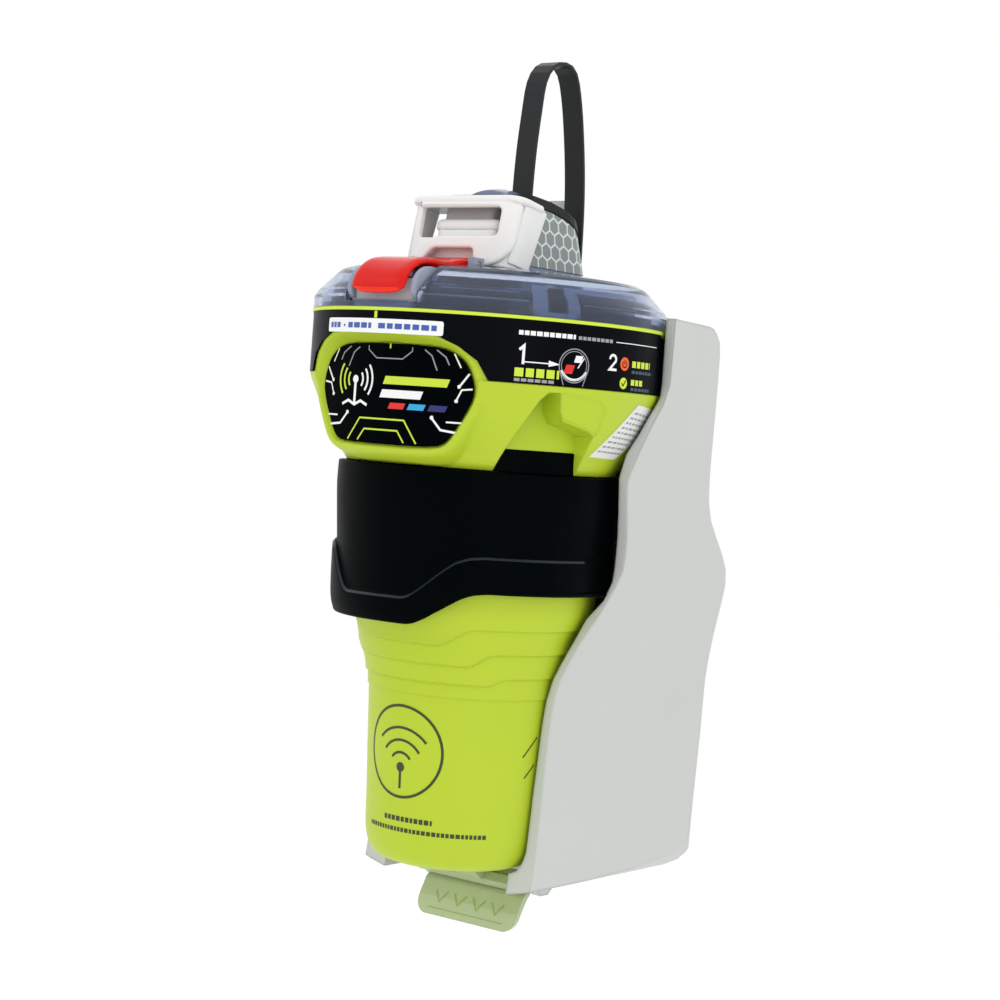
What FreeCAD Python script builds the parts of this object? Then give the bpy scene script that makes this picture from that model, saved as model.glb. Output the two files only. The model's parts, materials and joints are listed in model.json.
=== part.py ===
import FreeCAD, Part
import math
import os

# Emergency position beacon standing in its manual-release wall bracket.
# All sizes are in millimetres. While it is modelled, the beacon's own upright axis is
# x = y = 0, its foot is at z = 0 and its front faces -Y. Export moves the wall plane to
# Y = 0 and the middle of the wall-screw pattern to the origin.

V = FreeCAD.Vector
X_AXIS = V(1, 0, 0)
Y_AXIS = V(0, 1, 0)
Z_AXIS = V(0, 0, 1)

# ---------------------------------------------------------------- driving dimensions
WALL_Y = 64.0
SCREW_CENTRE_Z = 90.0
SCREW_SPACING_X = 40.0
SCREW_SPACING_Z = 80.0
SCREW_HOLE_R = 2.6
SCREW_HEAD_R = 5.2

FLAT_BACK_Y = 38.0
WALL = 2.2
SLIP = 0.05
RING_R = 55.0
LENS_R = 55.4
SEAM_Z = 167.7
DECK_Z = 183.7
BAND_TOP_Z = 123.0
BAND_BOTTOM_Z = 87.0
CHIN_BOTTOM_Z = 76.0

BADGE_Y = -47.5
BADGE_CURVE_R = 95.0
BADGE_THICKNESS = 1.6

TOWER_BASE_Z = 184.0
TOWER_TOP_Z = 207.8
CAP_RIM = 3.0

BLADE_WIDTH = 7.4
BLADE_THICKNESS = 1.0
BLADE_TIP_Z = 130.0

COVER_HALF_WIDTH = 10.0
COVER_PIN_Y = -24.5
COVER_PIN_Z = 184.4

CELL_R = 9.2
CELL_LENGTH = 65.0
CELL_PITCH_R = 13.4

BRACKET_WALL = 2.8
BRACKET_TOP_Z = 173.0
SHELF_TOP_Z = -0.1
TAB_PIN_Y = 17.0
TAB_PIN_Z = -6.0
TAB_PIN_R = 1.5
TAB_HALF_WIDTH = 19.6

NOTCH_HALF_WIDTH = 6.4
NOTCH_FRONT_Y = 4.2
NOTCH_REAR_Y = 12.6
NOTCH_LIP_Y = 11.2
NOTCH_LIP_Z = 1.0
NOTCH_TOP_Z = 3.4


# ---------------------------------------------------------------- helpers
def box(x0, x1, y0, y1, z0, z1):
    return Part.makeBox(x1 - x0, y1 - y0, z1 - z0, V(x0, y0, z0))


def rod(radius, start, end):
    direction = end - start
    return Part.makeCylinder(radius, direction.Length, start, direction)


def revolved(points):
    wire = Part.makePolygon([V(r, 0, z) for r, z in points + points[:1]])
    return Part.Face(wire).revolve(V(0, 0, 0), Z_AXIS, 360)


def side_prism(points, x0, x1):
    """Prism along X from an outline given as (y, z)."""
    wire = Part.makePolygon([V(x0, y, z) for y, z in points + points[:1]])
    return Part.Face(wire).extrude(V(x1 - x0, 0, 0))


def front_prism(points, y0, y1):
    """Prism along Y from an outline given as (x, z)."""
    wire = Part.makePolygon([V(x, y0, z) for x, z in points + points[:1]])
    return Part.Face(wire).extrude(V(0, y1 - y0, 0))


def plan_prism(points, z0, z1):
    """Prism along Z from an outline given as (x, y)."""
    wire = Part.makePolygon([V(x, y, z0) for x, y in points + points[:1]])
    return Part.Face(wire).extrude(V(0, 0, z1 - z0))


def plan_wire(points, z):
    return Part.makePolygon([V(x, y, z) for x, y in points + points[:1]])


def mirrored_outline(half):
    """Close an outline whose right half is given from top to bottom."""
    return half + [(-x, z) for x, z in reversed(half)]


def rounded_corners(shape, axis, radius):
    """Round the straight edges that run along one axis."""
    edges = []
    for edge in shape.Edges:
        run = edge.Vertexes[-1].Point - edge.Vertexes[0].Point
        if run.Length > 1e-6 and abs(run.dot(axis)) / run.Length > 0.999:
            edges.append(edge)
    return shape.makeFillet(radius, edges)


def front_of(y):
    return box(-90, 90, -90, y, -40, 300)


def fused(shapes):
    whole = shapes[0]
    for shape in shapes[1:]:
        whole = whole.fuse(shape)
    return whole.removeSplitter()


def eased(table, z):
    """Reading of a (z, value) list with its corners rounded over about 10 mm."""
    total = 0.0
    for offset, weight in ((-5.0, 1), (-2.5, 2), (0.0, 3), (2.5, 2), (5.0, 1)):
        total += weight * interpolated(table, z + offset)
    return total / 9.0


def interpolated(table, z):
    """Straight-line interpolation in a list of (z, value), ascending in z."""
    if z <= table[0][0]:
        return table[0][1]
    for (z0, a), (z1, b) in zip(table, table[1:]):
        if z <= z1:
            return a + (b - a) * (z - z0) / (z1 - z0)
    return table[-1][1]


# ---------------------------------------------------------------- beacon: lower half
# Outer radius of the tapering lower body, from the foot upward.
BODY_OUTLINE = [
    (20.0, 0.0), (23.6, 1.0), (26.2, 3.4), (27.6, 6.4), (28.0, 10.0), (28.5, 23.0), (29.1, 35.0),
    (29.7, 48.0), (30.2, 54.3), (31.0, 59.0), (33.4, 66.7), (35.0, 72.3), (38.5, 80.0),
    (39.6, 88.0), (40.2, 97.0), (40.2, 118.4),
]


def body_solid(grow):
    points = [(0.0, -grow)]
    points += [(r + grow, z - (grow if z < 9 else 0)) for r, z in BODY_OUTLINE]
    points += [(0.0, BODY_OUTLINE[-1][1])]
    return revolved(points)


def lower_housing():
    outer = body_solid(0.0).common(front_of(FLAT_BACK_Y - 1.2))
    inner = body_solid(-WALL).common(front_of(FLAT_BACK_Y - 1.2 - WALL))
    shell = outer.cut(inner)
    # Latch notch in the foot, with a floor of its own above it and a lip at its rear for the hook's barb.
    notch_boss = box(-8.5, 8.5, 2.2, 15.0, 0.0, 5.6)
    notch = box(-NOTCH_HALF_WIDTH, NOTCH_HALF_WIDTH, NOTCH_FRONT_Y, NOTCH_REAR_Y, NOTCH_LIP_Z, NOTCH_TOP_Z)
    mouth = box(-NOTCH_HALF_WIDTH, NOTCH_HALF_WIDTH, NOTCH_FRONT_Y, NOTCH_LIP_Y, -1.0, NOTCH_LIP_Z)
    return shell.fuse(notch_boss).cut(notch.fuse(mouth)).removeSplitter()


def grip_band():
    upper = [(36.0, BAND_BOTTOM_Z), (43.0, BAND_BOTTOM_Z), (43.1, 97.5), (44.0, 110.0),
             (44.4, 116.0), (44.2, BAND_TOP_Z), (40.9, BAND_TOP_Z), (40.9, 118.5), (36.0, 118.5)]
    raised = [(30.0, 75.0), (41.6, 75.0), (43.2, 77.0), (44.1, 82.0), (44.4, 94.0),
              (44.0, 98.4), (30.0, 98.4)]
    lower_edge = [(35.0, 87.0), (26.0, 86.0), (24.3, 84.9), (19.4, 81.2), (13.9, 77.7), (9.0, 76.0)]
    ridge = [(8.0, 83.8), (10.0, 85.3), (13.3, 87.4), (18.6, 92.3), (22.4, 95.6),
             (26.1, 96.9), (35.0, 97.5)]
    half = ridge + [(60.0, 97.5), (60.0, 87.0)] + lower_edge
    chin_outline = half + [(-x, z) for x, z in reversed(half)]
    ring = revolved(raised)
    chin = ring.common(front_prism(chin_outline, -60, -20))
    rear = ring.common(box(-60, 60, -20, 60, BAND_BOTTOM_Z, 97.5))
    band = fused([revolved(upper), chin, rear]).common(front_of(FLAT_BACK_Y))
    core = body_solid(SLIP).common(front_of(FLAT_BACK_Y - 1.2 + SLIP))
    return band.cut(core)


CONTACT_PLACES = (-15.0, 15.0)
CONTACT_Z = 142.0


def water_contact(x):
    """Stainless stud that senses immersion, on the flat back."""
    return rod(2.2, V(x, FLAT_BACK_Y - 0.55, CONTACT_Z), V(x, FLAT_BACK_Y + 0.7, CONTACT_Z))


# ---------------------------------------------------------------- beacon: upper half
SKIRT_OUTLINE = [
    (42.1, 123.4), (43.2, 125.0), (44.6, 128.0), (47.4, 132.2), (50.3, 137.6), (52.5, 143.0),
    (55.0, 149.0),
]
BADGE_OUTLINE = mirrored_outline([(20.0, 158.5), (23.0, 157.2), (28.5, 149.5), (30.0, 145.0),
                                  (25.0, 134.6), (20.5, 130.0), (17.0, 129.0)])
BADGE_EDGE = mirrored_outline([(17.5, 158.8), (23.4, 157.4), (27.0, 152.6), (29.2, 148.6),
                               (30.3, 145.0), (25.3, 134.6), (20.8, 129.8), (17.0, 128.7)])
BEZEL_OUTLINE = mirrored_outline([(18.0, 161.0), (25.0, 157.9), (29.7, 154.3), (32.4, 149.0),
                                  (33.0, 142.0), (33.0, 136.0), (28.0, 130.0), (21.0, 126.4)])


def badge_cylinder(offset):
    """Gently convex front surface shared by the badge and its bezel."""
    radius = BADGE_CURVE_R + offset
    centre_y = BADGE_Y + BADGE_CURVE_R
    return Part.makeCylinder(radius, 60, V(0, centre_y, 115), Z_AXIS)


def scaled_outline(points, factor):
    middle = 0.5 * (max(z for _, z in points) + min(z for _, z in points))
    return [(x * factor, middle + (z - middle) * factor) for x, z in points]


def window_cutter(side):
    """Opening in the flared skirt, seen along a direction 62 degrees round from the front."""
    outline = [(-18.2, 122.0), (-6.1, 145.0), (-3.5, 147.0), (-0.9, 147.0), (0.9, 141.0),
               (2.6, 138.7), (11.8, 136.6), (14.6, 135.6), (14.6, 122.0)]
    angle = math.radians(62.0)
    outward = V(side * math.sin(angle), -math.cos(angle), 0)
    sideways = V(side * math.cos(angle), math.sin(angle), 0)
    points = [outward * 30 + sideways * u + V(0, 0, z) for u, z in outline]
    face = Part.Face(Part.makePolygon(points + points[:1]))
    core = Part.makeCylinder(42.0, 40, V(0, 0, 115), Z_AXIS)
    return face.extrude(outward * 45).cut(core)


def ring_solid():
    points = [(0.0, 118.6), (40.2, 118.6), (40.2, 123.4)] + SKIRT_OUTLINE
    points += [(55.0, 149.3), (54.4, 149.3), (54.4, 167.0), (55.0, 167.0), (55.0, SEAM_Z), (0.0, SEAM_Z)]
    return revolved(points).common(front_of(FLAT_BACK_Y))


def ring_hollow():
    points = [(0.0, 118.0), (38.0, 118.0), (39.0, 124.0), (39.6, 147.0), (51.6, 150.6), (52.0, 169.0),
              (0.0, 169.0)]
    return revolved(points).common(front_of(FLAT_BACK_Y - WALL))


def upper_housing():
    shell = ring_solid().cut(ring_hollow())
    # Backing block and proud bezel round the badge.
    block = front_prism(BEZEL_OUTLINE, -55.0, -39.0)
    block = block.common(badge_cylinder(1.3))
    shell = shell.fuse(block)
    for side in (-1, 1):
        shell = shell.cut(window_cutter(side))
    # Sloping recess from the ring's surface down to the badge.
    steps = 4
    for i in range(steps):
        t = (i + 0.5) / steps
        outline = []
        for (bx, bz), (ox, oz) in zip(BADGE_EDGE, BEZEL_OUTLINE):
            outline.append((bx + (ox - bx) * t, bz + (oz - bz) * t))
        y = BADGE_Y - 0.2 - 1.9 * i
        shell = shell.cut(front_prism(outline, y - 1.95 if i < steps - 1 else -60.0, y))
    pocket = front_prism(scaled_outline(BADGE_OUTLINE, 1.01), -60.0, -30.0)
    pocket = pocket.cut(badge_cylinder(-BADGE_THICKNESS - SLIP))
    for x in CONTACT_PLACES:
        shell = shell.cut(rod(2.25, V(x, FLAT_BACK_Y - 0.6, CONTACT_Z), V(x, FLAT_BACK_Y + 2, CONTACT_Z)))
    return shell.cut(pocket).removeSplitter()


def badge_panel():
    panel = front_prism(scaled_outline(BADGE_OUTLINE, 1.0), -60.0, -30.0)
    return panel.common(badge_cylinder(0.0)).cut(badge_cylinder(-BADGE_THICKNESS))


def wrap_label():
    band = revolved([(54.45, 149.4), (55.2, 149.4), (55.2, 166.9), (54.45, 166.9)])
    badge_gap = front_prism(scaled_outline(BEZEL_OUTLINE, 1.05), -60.0, -20.0)
    return band.common(front_of(FLAT_BACK_Y - 0.4)).cut(badge_gap)


def id_sticker():
    """Thin printed patch on the right of the skirt, following its flare."""
    patch = revolved([(45.6, 129.4), (47.5, 132.2), (50.4, 137.6), (52.6, 143.0), (53.55, 145.3),
                      (53.9, 145.2), (52.9, 142.8), (50.7, 137.4), (47.8, 132.0), (45.9, 129.2)])
    start = math.radians(83.0)
    end = math.radians(121.0)
    reach = 80.0
    wedge = plan_prism([(0, 0), (reach * math.sin(start), -reach * math.cos(start)),
                        (reach * math.sin(end), -reach * math.cos(end))], 120, 150)
    return patch.common(wedge)


# ---------------------------------------------------------------- beacon: lens and deck
LENS_OUTLINE = [(55.4, 168.9), (55.4, 172.7), (54.3, 174.6), (52.6, 176.3), (49.0, 180.1),
                (47.7, 181.3), (46.0, 182.1), (36.5, 183.3), (28.0, 183.7)]


def lens_cutouts():
    tower_hole = tower_solid(0.4, TOWER_BASE_Z - 6.0, TOWER_BASE_Z + 4.0)
    mouth = box(-13.7, 13.7, -60, -18.6, 170.5, 190)
    return fused([tower_hole, rounded_corners(mouth, Z_AXIS, 1.6)])


def lens():
    outer = revolved([(0.0, 168.9)] + LENS_OUTLINE + [(0.0, DECK_Z)])
    inner_points = [(0.0, 168.0), (53.3, 168.0), (53.2, 171.9), (52.2, 173.6), (50.9, 175.1),
                    (47.6, 178.6), (45.0, 180.0), (36.0, 181.3), (0.0, 181.7)]
    inner = revolved(inner_points)
    shell = outer.common(front_of(FLAT_BACK_Y)).cut(inner.common(front_of(FLAT_BACK_Y - 2.0)))
    return shell.cut(lens_cutouts())


def lens_seal():
    """Bright rim between the lens and the housing, with its sealing lip."""
    rim = revolved([(52.4, 167.8), (55.5, 167.8), (55.5, 168.8), (52.4, 168.8)])
    hole = revolved([(0, 160), (52.4, 160), (52.4, 170), (0, 170)]).common(front_of(FLAT_BACK_Y - WALL))
    return rim.common(front_of(FLAT_BACK_Y + 0.1)).fuse(
        box(-39, 39, FLAT_BACK_Y - 2.1, FLAT_BACK_Y + 0.1, 167.8, 168.8)).cut(hole).removeSplitter()


LAMP_DEGREES = (62, 118, 242, 298)
LAMP_PITCH_R = 40.0


def around(shape, degrees, radius):
    """Place a shape modelled at the axis at one angle round the beacon from the front."""
    a = math.radians(degrees)
    placed = shape.copy()
    placed.rotate(V(0, 0, 0), Z_AXIS, degrees)
    placed.translate(V(radius * math.sin(a), -radius * math.cos(a), 0))
    return placed


def top_deck():
    """Dark drum under the lens: a flange on the seal, a wall and a top plate with lamp holes."""
    back = 35.8
    flange = Part.makeCylinder(53.0, 1.6, V(0, 0, 168.85), Z_AXIS).common(front_of(back))
    drum = revolved([(0, 170.0), (50.4, 170.0), (49.6, 175.0), (48.4, 176.4), (0, 176.4)])
    drum = drum.common(front_of(back - 1))
    inside = revolved([(0, 170.45), (48.8, 170.45), (48.0, 174.9), (0, 174.9)]).common(front_of(back - 2.6))
    deck = flange.fuse(drum.cut(inside))
    deck = deck.cut(box(-13.5, 13.5, -60, -19.1, 170.45, 180)).cut(tower_solid(0.3, 170.5, 180.0))
    for degrees in LAMP_DEGREES:
        deck = deck.cut(around(box(-3.2, 3.2, -3.2, 3.2, 174.0, 180), degrees, LAMP_PITCH_R))
    return deck.removeSplitter()


def led_board():
    """Ring-shaped board that carries the strobe lamps, on short legs inside the drum."""
    board = Part.makeCylinder(45.5, 1.4, V(0, 0, 171.6), Z_AXIS)
    board = board.cut(Part.makeCylinder(33.0, 4, V(0, 0, 170), Z_AXIS))
    board = board.common(front_of(31.5)).cut(box(-16, 16, -60, 0, 170, 180))
    legs = []
    for degrees in (80, 135, 225, 280):
        legs.append(around(rod(1.8, V(0, 0, 170.45), V(0, 0, 171.7)), degrees, 37.0))
    return fused([board] + legs)


def strobe_lamp(degrees):
    base = box(-3.0, 3.0, -3.0, 3.0, 173.0, 176.6)
    dome = Part.makeSphere(2.3, V(0, 0, 176.6)).common(box(-3, 3, -3, 3, 176.4, 180))
    return around(base.fuse(dome), degrees, LAMP_PITCH_R)


def button_pod():
    """Dark well under the thumb cover that guides the two buttons."""
    pod = rounded_corners(box(-13.2, 13.2, -51.0, -19.4, 170.5, 177.0), Z_AXIS, 2.4)
    pod = pod.cut(box(-11.0, 11.0, -30.0, -15.0, 176.0, 190))
    for y in (-45.0, -34.5):
        pod = pod.cut(rod(4.35, V(0, y, 171.6), V(0, y, 180)))
    return pod


def push_button(y, radius, top):
    return rod(radius, V(0, y, 173.6), V(0, y, top))


def hinge_post(side):
    """Bearing block on the deck at one side of the thumb cover, holding the hinge pin."""
    x0 = 10.5 if side > 0 else -12.9
    block = box(x0, x0 + 2.4, COVER_PIN_Y - 2.6, COVER_PIN_Y + 2.6, 177.0, COVER_PIN_Z + 2.0)
    return block


def hinge_posts():
    pair = fused([hinge_post(1), hinge_post(-1)])
    bore = rod(1.05, V(-20, COVER_PIN_Y, COVER_PIN_Z), V(20, COVER_PIN_Y, COVER_PIN_Z))
    return pair.cut(bore)


def cover_pin():
    return rod(1.0, V(-12.7, COVER_PIN_Y, COVER_PIN_Z), V(12.7, COVER_PIN_Y, COVER_PIN_Z))


def thumb_cover():
    """Translucent flap: a flat strip from the hinge that curls down over the front edge."""
    outline = [(-19.4, 185.4), (-25.5, 186.2), (-39.8, 184.9), (-45.9, 183.7), (-50.2, 182.3),
               (-53.2, 180.0), (-55.2, 176.8), (-55.0, 173.9), (-53.4, 173.9), (-53.3, 176.4),
               (-51.6, 178.6), (-49.0, 180.3), (-45.5, 181.4), (-39.5, 182.3), (-25.5, 183.0),
               (-19.4, 183.1)]
    flap = side_prism(outline, -COVER_HALF_WIDTH, COVER_HALF_WIDTH)
    pin_left = V(-COVER_HALF_WIDTH, COVER_PIN_Y, COVER_PIN_Z)
    pin_right = V(COVER_HALF_WIDTH, COVER_PIN_Y, COVER_PIN_Z)
    knuckle = rod(2.1, pin_left, pin_right)
    bore = rod(1.06, V(-20, COVER_PIN_Y, COVER_PIN_Z), V(20, COVER_PIN_Y, COVER_PIN_Z))
    return flap.fuse(knuckle).cut(bore).removeSplitter()


# ---------------------------------------------------------------- beacon: tower and aerial
def tower_section(grow, z):
    """Rounded rectangle of the tower at one height; it narrows by about nine degrees."""
    inset = (z - TOWER_BASE_Z) * math.tan(math.radians(9.0))
    half = 18.5 - inset + grow
    front = -9.0 + 0.8 * inset - grow
    rear = 29.0 - inset + grow
    radius = 11.0
    front_radius = 3.0
    points = []
    for cx, cy, r, start in ((half - radius, rear - radius, radius, 0),
                             (-half + radius, rear - radius, radius, 90),
                             (-half + front_radius, front + front_radius, front_radius, 180),
                             (half - front_radius, front + front_radius, front_radius, 270)):
        for k in range(7):
            a = math.radians(start + 15 * k)
            points.append((cx + r * math.cos(a), cy + r * math.sin(a)))
    return plan_wire(points, z)


def tower_solid(grow, z0, z1):
    return Part.makeLoft([tower_section(grow, z0), tower_section(grow, z1)], True, True)


def tower_crown_cut(drop):
    """Everything above the tower's top, which falls away and rounds over to the rear."""
    line = [(-30.0, 207.8), (-3.0, 207.8), (6.0, 207.0), (13.0, 205.5), (20.0, 203.0), (24.0, 199.6),
            (27.0, 195.0), (40.0, 180.0)]
    outline = [(y, z - drop) for y, z in line] + [(40.0, 240.0), (-30.0, 240.0)]
    return side_prism(outline, -40, 40)


def tower_housing():
    outer = tower_solid(0.0, TOWER_BASE_Z - 13.4, 209.0).cut(tower_crown_cut(CAP_RIM + SLIP))
    inner = tower_solid(-1.8, TOWER_BASE_Z - 14.0, 208.0).cut(tower_crown_cut(CAP_RIM + 1.8))
    return outer.cut(inner)


def tower_cap():
    block = tower_solid(0.7, 188.0, 209.0)
    cap = block.cut(tower_crown_cut(0.0)).common(tower_crown_cut(CAP_RIM))
    return cap.cut(box(-5.0, 5.0, 10.0, 13.2, 195, 212))


def reflective_tape():
    outer = tower_solid(0.45, 186.0, 206.0)
    inner = tower_solid(0.03, 185.0, 207.0)
    return outer.cut(inner).cut(tower_crown_cut(CAP_RIM + 0.3))


def crown_window():
    """Low clear dome at the front of the tower's top."""
    dome = Part.makeSphere(18.0, V(0, 0, 192.3))
    return dome.common(box(-11.0, 11.0, -5.8, 7.0, 206.5, 215)).common(tower_crown_cut(-0.03))


def gnss_antenna():
    patch = box(-12.5, 12.5, -3.0, 20.0, 186.0, 190.5)
    return patch.fuse(box(-4.0, 4.0, 5.0, 12.0, 170.5, 186.0)).removeSplitter()


BLADE_PATH = [(11.5, 203.3), (11.5, 212.0), (12.2, 227.0), (13.6, 239.5), (15.4, 247.6), (19.8, 252.4),
              (24.6, 253.6), (29.4, 252.6), (33.2, 246.6), (36.6, 234.0), (39.2, 219.0), (40.3, 207.0),
              (40.7, 196.0), (40.7, 165.0)]


def antenna_blade():
    centre = Part.BSplineCurve()
    centre.interpolate([V(0, y, z) for y, z in BLADE_PATH + [(40.7, BLADE_TIP_Z)]])
    edge = centre.toShape()
    count = 56
    left = []
    right = []
    for i in range(count + 1):
        t = edge.FirstParameter + (edge.LastParameter - edge.FirstParameter) * i / count
        point = edge.valueAt(t)
        along = edge.tangentAt(t)
        across = V(0, -along.z, along.y) * (BLADE_THICKNESS / 2)
        left.append((point.y + across.y, point.z + across.z))
        right.append((point.y - across.y, point.z - across.z))
    half = BLADE_WIDTH / 2
    return side_prism(left + list(reversed(right)), -half, half)


def antenna_boot():
    """Moulded collar round the root of the aerial."""
    boot = Part.makeLoft([plan_wire([(-4.9, 10.05), (4.9, 10.05), (4.9, 13.15), (-4.9, 13.15)], 203.3),
                          plan_wire([(-4.4, 10.4), (4.4, 10.4), (4.4, 12.7), (-4.4, 12.7)], 207.8)],
                         True, True)
    return boot.cut(box(-3.75, 3.75, 10.95, 12.1, 195, 215))


def antenna_tip():
    tip = box(-4.4, 4.4, 39.4, 42.0, BLADE_TIP_Z - 6.0, BLADE_TIP_Z + 5.0)
    return rounded_corners(tip, Y_AXIS, 2.0).cut(box(-3.8, 3.8, 39.95, 41.45, BLADE_TIP_Z - 0.3, 140))


# ---------------------------------------------------------------- beacon: lanyard
FRAME_LEAN = 9.9
FRAME_CORNER = 6.0


def leaned(shape):
    shape.rotate(V(0, -20.5, 186.0), X_AXIS, -FRAME_LEAN)
    return shape


def lanyard_frame():
    """White frame wrapped round the front of the tower: window, arch, two cheeks and a top plate."""
    outer = rounded_corners(box(-20.8, 20.8, -20.5, 12.0, 184.0, 204.2), Z_AXIS, FRAME_CORNER)
    inner = rounded_corners(box(-18.9, 18.9, -18.6, 10.1, 183.0, 205.0), Z_AXIS, FRAME_CORNER - 1.9)
    cheek_outline = [(-20.5, 184.0), (-20.5, 204.2), (-8.6, 204.2), (-12.6, 186.4), (-14.6, 184.0)]
    wall = outer.cut(inner).common(side_prism(cheek_outline, -30.0, 30.0))
    window = rounded_corners(box(-15.5, 15.5, -25, -16, 191.8, 203.4), Y_AXIS, 1.2)
    arch = rounded_corners(box(-10.6, 10.6, -25, -16, 180.0, 188.6), Y_AXIS, 2.0)
    wall = wall.cut(window).cut(arch)
    top = rounded_corners(box(-21.4, 21.4, -20.9, 12.0, 204.2, 206.4), Z_AXIS, FRAME_CORNER)
    top = top.common(front_of(-8.6))
    frame = leaned(fused([wall, top]))
    return frame.cut(tower_solid(0.5, 180.0, 209.0)).cut(box(-40, 40, -40, 0, 180, DECK_Z + 0.1))


def lanyard_core():
    """Flat bobbin behind the frame's window, fixed under its top plate."""
    neck = rounded_corners(box(-9.4, 9.4, -17.6, -13.2, 184.6, 204.15), Z_AXIS, 1.4)
    return leaned(neck).cut(box(-40, 40, -40, 0, 180, DECK_Z + 0.1))


def lanyard_reel():
    """Reel of the lanyard seen through the window: a rounded flange over a plain drum."""
    flange = rounded_corners(box(-12.9, 12.9, -18.45, -10.6, 197.6, 201.2), Z_AXIS, 3.2)
    drum = rounded_corners(box(-12.2, 12.2, -18.3, -10.8, 187.0, 197.7), Z_AXIS, 3.0)
    core = rounded_corners(box(-9.5, 9.5, -17.7, -13.1, 180.0, 210.0), Z_AXIS, 1.4)
    return leaned(fused([flange, drum]).cut(core)).cut(tower_solid(0.5, 180.0, 209.0))


# ---------------------------------------------------------------- beacon: inside
def battery_cell(index):
    a = math.radians(45 + 90 * index)
    x = CELL_PITCH_R * math.cos(a)
    y = CELL_PITCH_R * math.sin(a)
    cell = rod(CELL_R, V(x, y, 9.0), V(x, y, 9.0 + CELL_LENGTH))
    button = rod(3.0, V(x, y, 9.0 + CELL_LENGTH), V(x, y, 10.4 + CELL_LENGTH))
    return cell.fuse(button)


def battery_tray():
    base = Part.makeCylinder(23.8, 2.4, V(0, 0, 6.4), Z_AXIS)
    post = rod(3.4, V(0, 0, 8.0), V(0, 0, 76.8))
    top = Part.makeCylinder(26.0, 1.8, V(0, 0, 75.6), Z_AXIS)
    return fused([base, post, top])


def main_board():
    board = Part.makeCylinder(37.0, 1.6, V(0, 0, 128.0), Z_AXIS).common(front_of(34.0))
    parts = [board, box(-12, 12, -10, 8, 129.5, 134.5), box(-26, -14, -20, 4, 129.5, 132.5)]
    parts.append(box(14, 26, -6, 14, 129.5, 133.5))
    holes = [rod(2.1, V(x, y, 120), V(x, y, 140)) for x, y in BOARD_SCREWS]
    whole = fused(parts)
    for hole in holes:
        whole = whole.cut(hole)
    return whole


BOARD_SCREWS = [(24.0, 24.0), (-24.0, 24.0), (24.0, -24.0), (-24.0, -24.0)]


def board_frame():
    """Ring with four posts that carries the main board inside the upper housing."""
    ring = Part.makeCylinder(37.8, 2.4, V(0, 0, 119.2), Z_AXIS)
    ring = ring.cut(Part.makeCylinder(29.0, 6, V(0, 0, 118), Z_AXIS))
    ring = ring.common(front_of(34.6))
    parts = [ring]
    for x, y in BOARD_SCREWS:
        parts.append(rod(3.6, V(x, y, 119.2), V(x, y, 127.95)))
    whole = fused(parts)
    for x, y in BOARD_SCREWS:
        whole = whole.cut(rod(1.3, V(x, y, 118), V(x, y, 130)))
    return whole


def board_screw(x, y):
    shank = rod(1.25, V(x, y, 121.5), V(x, y, 130.0))
    head = rod(2.6, V(x, y, 129.65), V(x, y, 131.4))
    return shank.fuse(head).removeSplitter()


# ---------------------------------------------------------------- bracket
# (height, rear half-width), (height, x, y) of the side ridge and of the front edge
REAR_HALF_WIDTH = [(-8, 49.2), (14, 49.4), (22, 49.7), (44, 50.5), (56, 50.6), (63, 50.9), (75, 52.6),
                   (91, 55.8), (96, 55.8), (102, 53.0), (108, 49.6), (114, 47.1), (127, 46.6), (150, 47.0),
                   (175, 47.0)]
RIDGE_X = [(0, 42.0), (20, 42.0), (42, 42.5), (55, 44.0), (61, 46.0), (72, 50.0), (82, 52.0), (95, 53.0),
           (105, 51.5), (123, 50.5), (139, 53.0), (150, 54.6), (172, 55.0)]
RIDGE_Y = [(0, 11.0), (20, 11.0), (42, 12.5), (55, 13.0), (61, 14.0), (72, 18.0), (82, 20.0), (95, 19.0),
           (105, 19.0), (123, 17.0), (139, 22.0), (150, 26.0), (172, 24.0)]
FRONT_X = [(0, 33.0), (20, 33.0), (42, 33.5), (55, 34.0), (61, 36.0), (72, 40.0), (82, 45.0), (95, 50.0),
           (123, 50.0), (139, 53.6), (150, 56.4), (172, 57.4)]
FRONT_Y = [(-8, -3.4), (0, -3.0), (6, -1.4), (20, -0.6), (42, 0.0), (55, 0.6), (61, 0.6), (72, 3.0),
           (82, 6.3), (95, 10.0), (105, 10.5), (123, 8.0), (139, 13.0), (150, 18.0), (172, 17.0)]
SECTION_HEIGHTS = [-8, 6, 20, 34, 42, 50, 56, 61, 66, 71, 76, 81, 86, 91, 96, 101, 106, 111, 117, 123,
                   129, 135, 141, 147, 153, 160, 175]
POCKET_R = [(-10, 25.2), (-0.1, 25.2), (1.2, 27.2), (3.6, 28.6), (7, 29.5), (23, 29.8), (35, 30.4),
            (48, 31.0), (54, 31.6), (60, 33.2), (66, 35.4), (72, 38.0), (80, 41.0), (86, 45.8),
            (92, 47.6), (125, 47.8), (131, 48.6), (137, 51.6), (143, 54.0), (149, 56.4), (180, 56.6)]
POCKET_BACK_Y = 43.6


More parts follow.
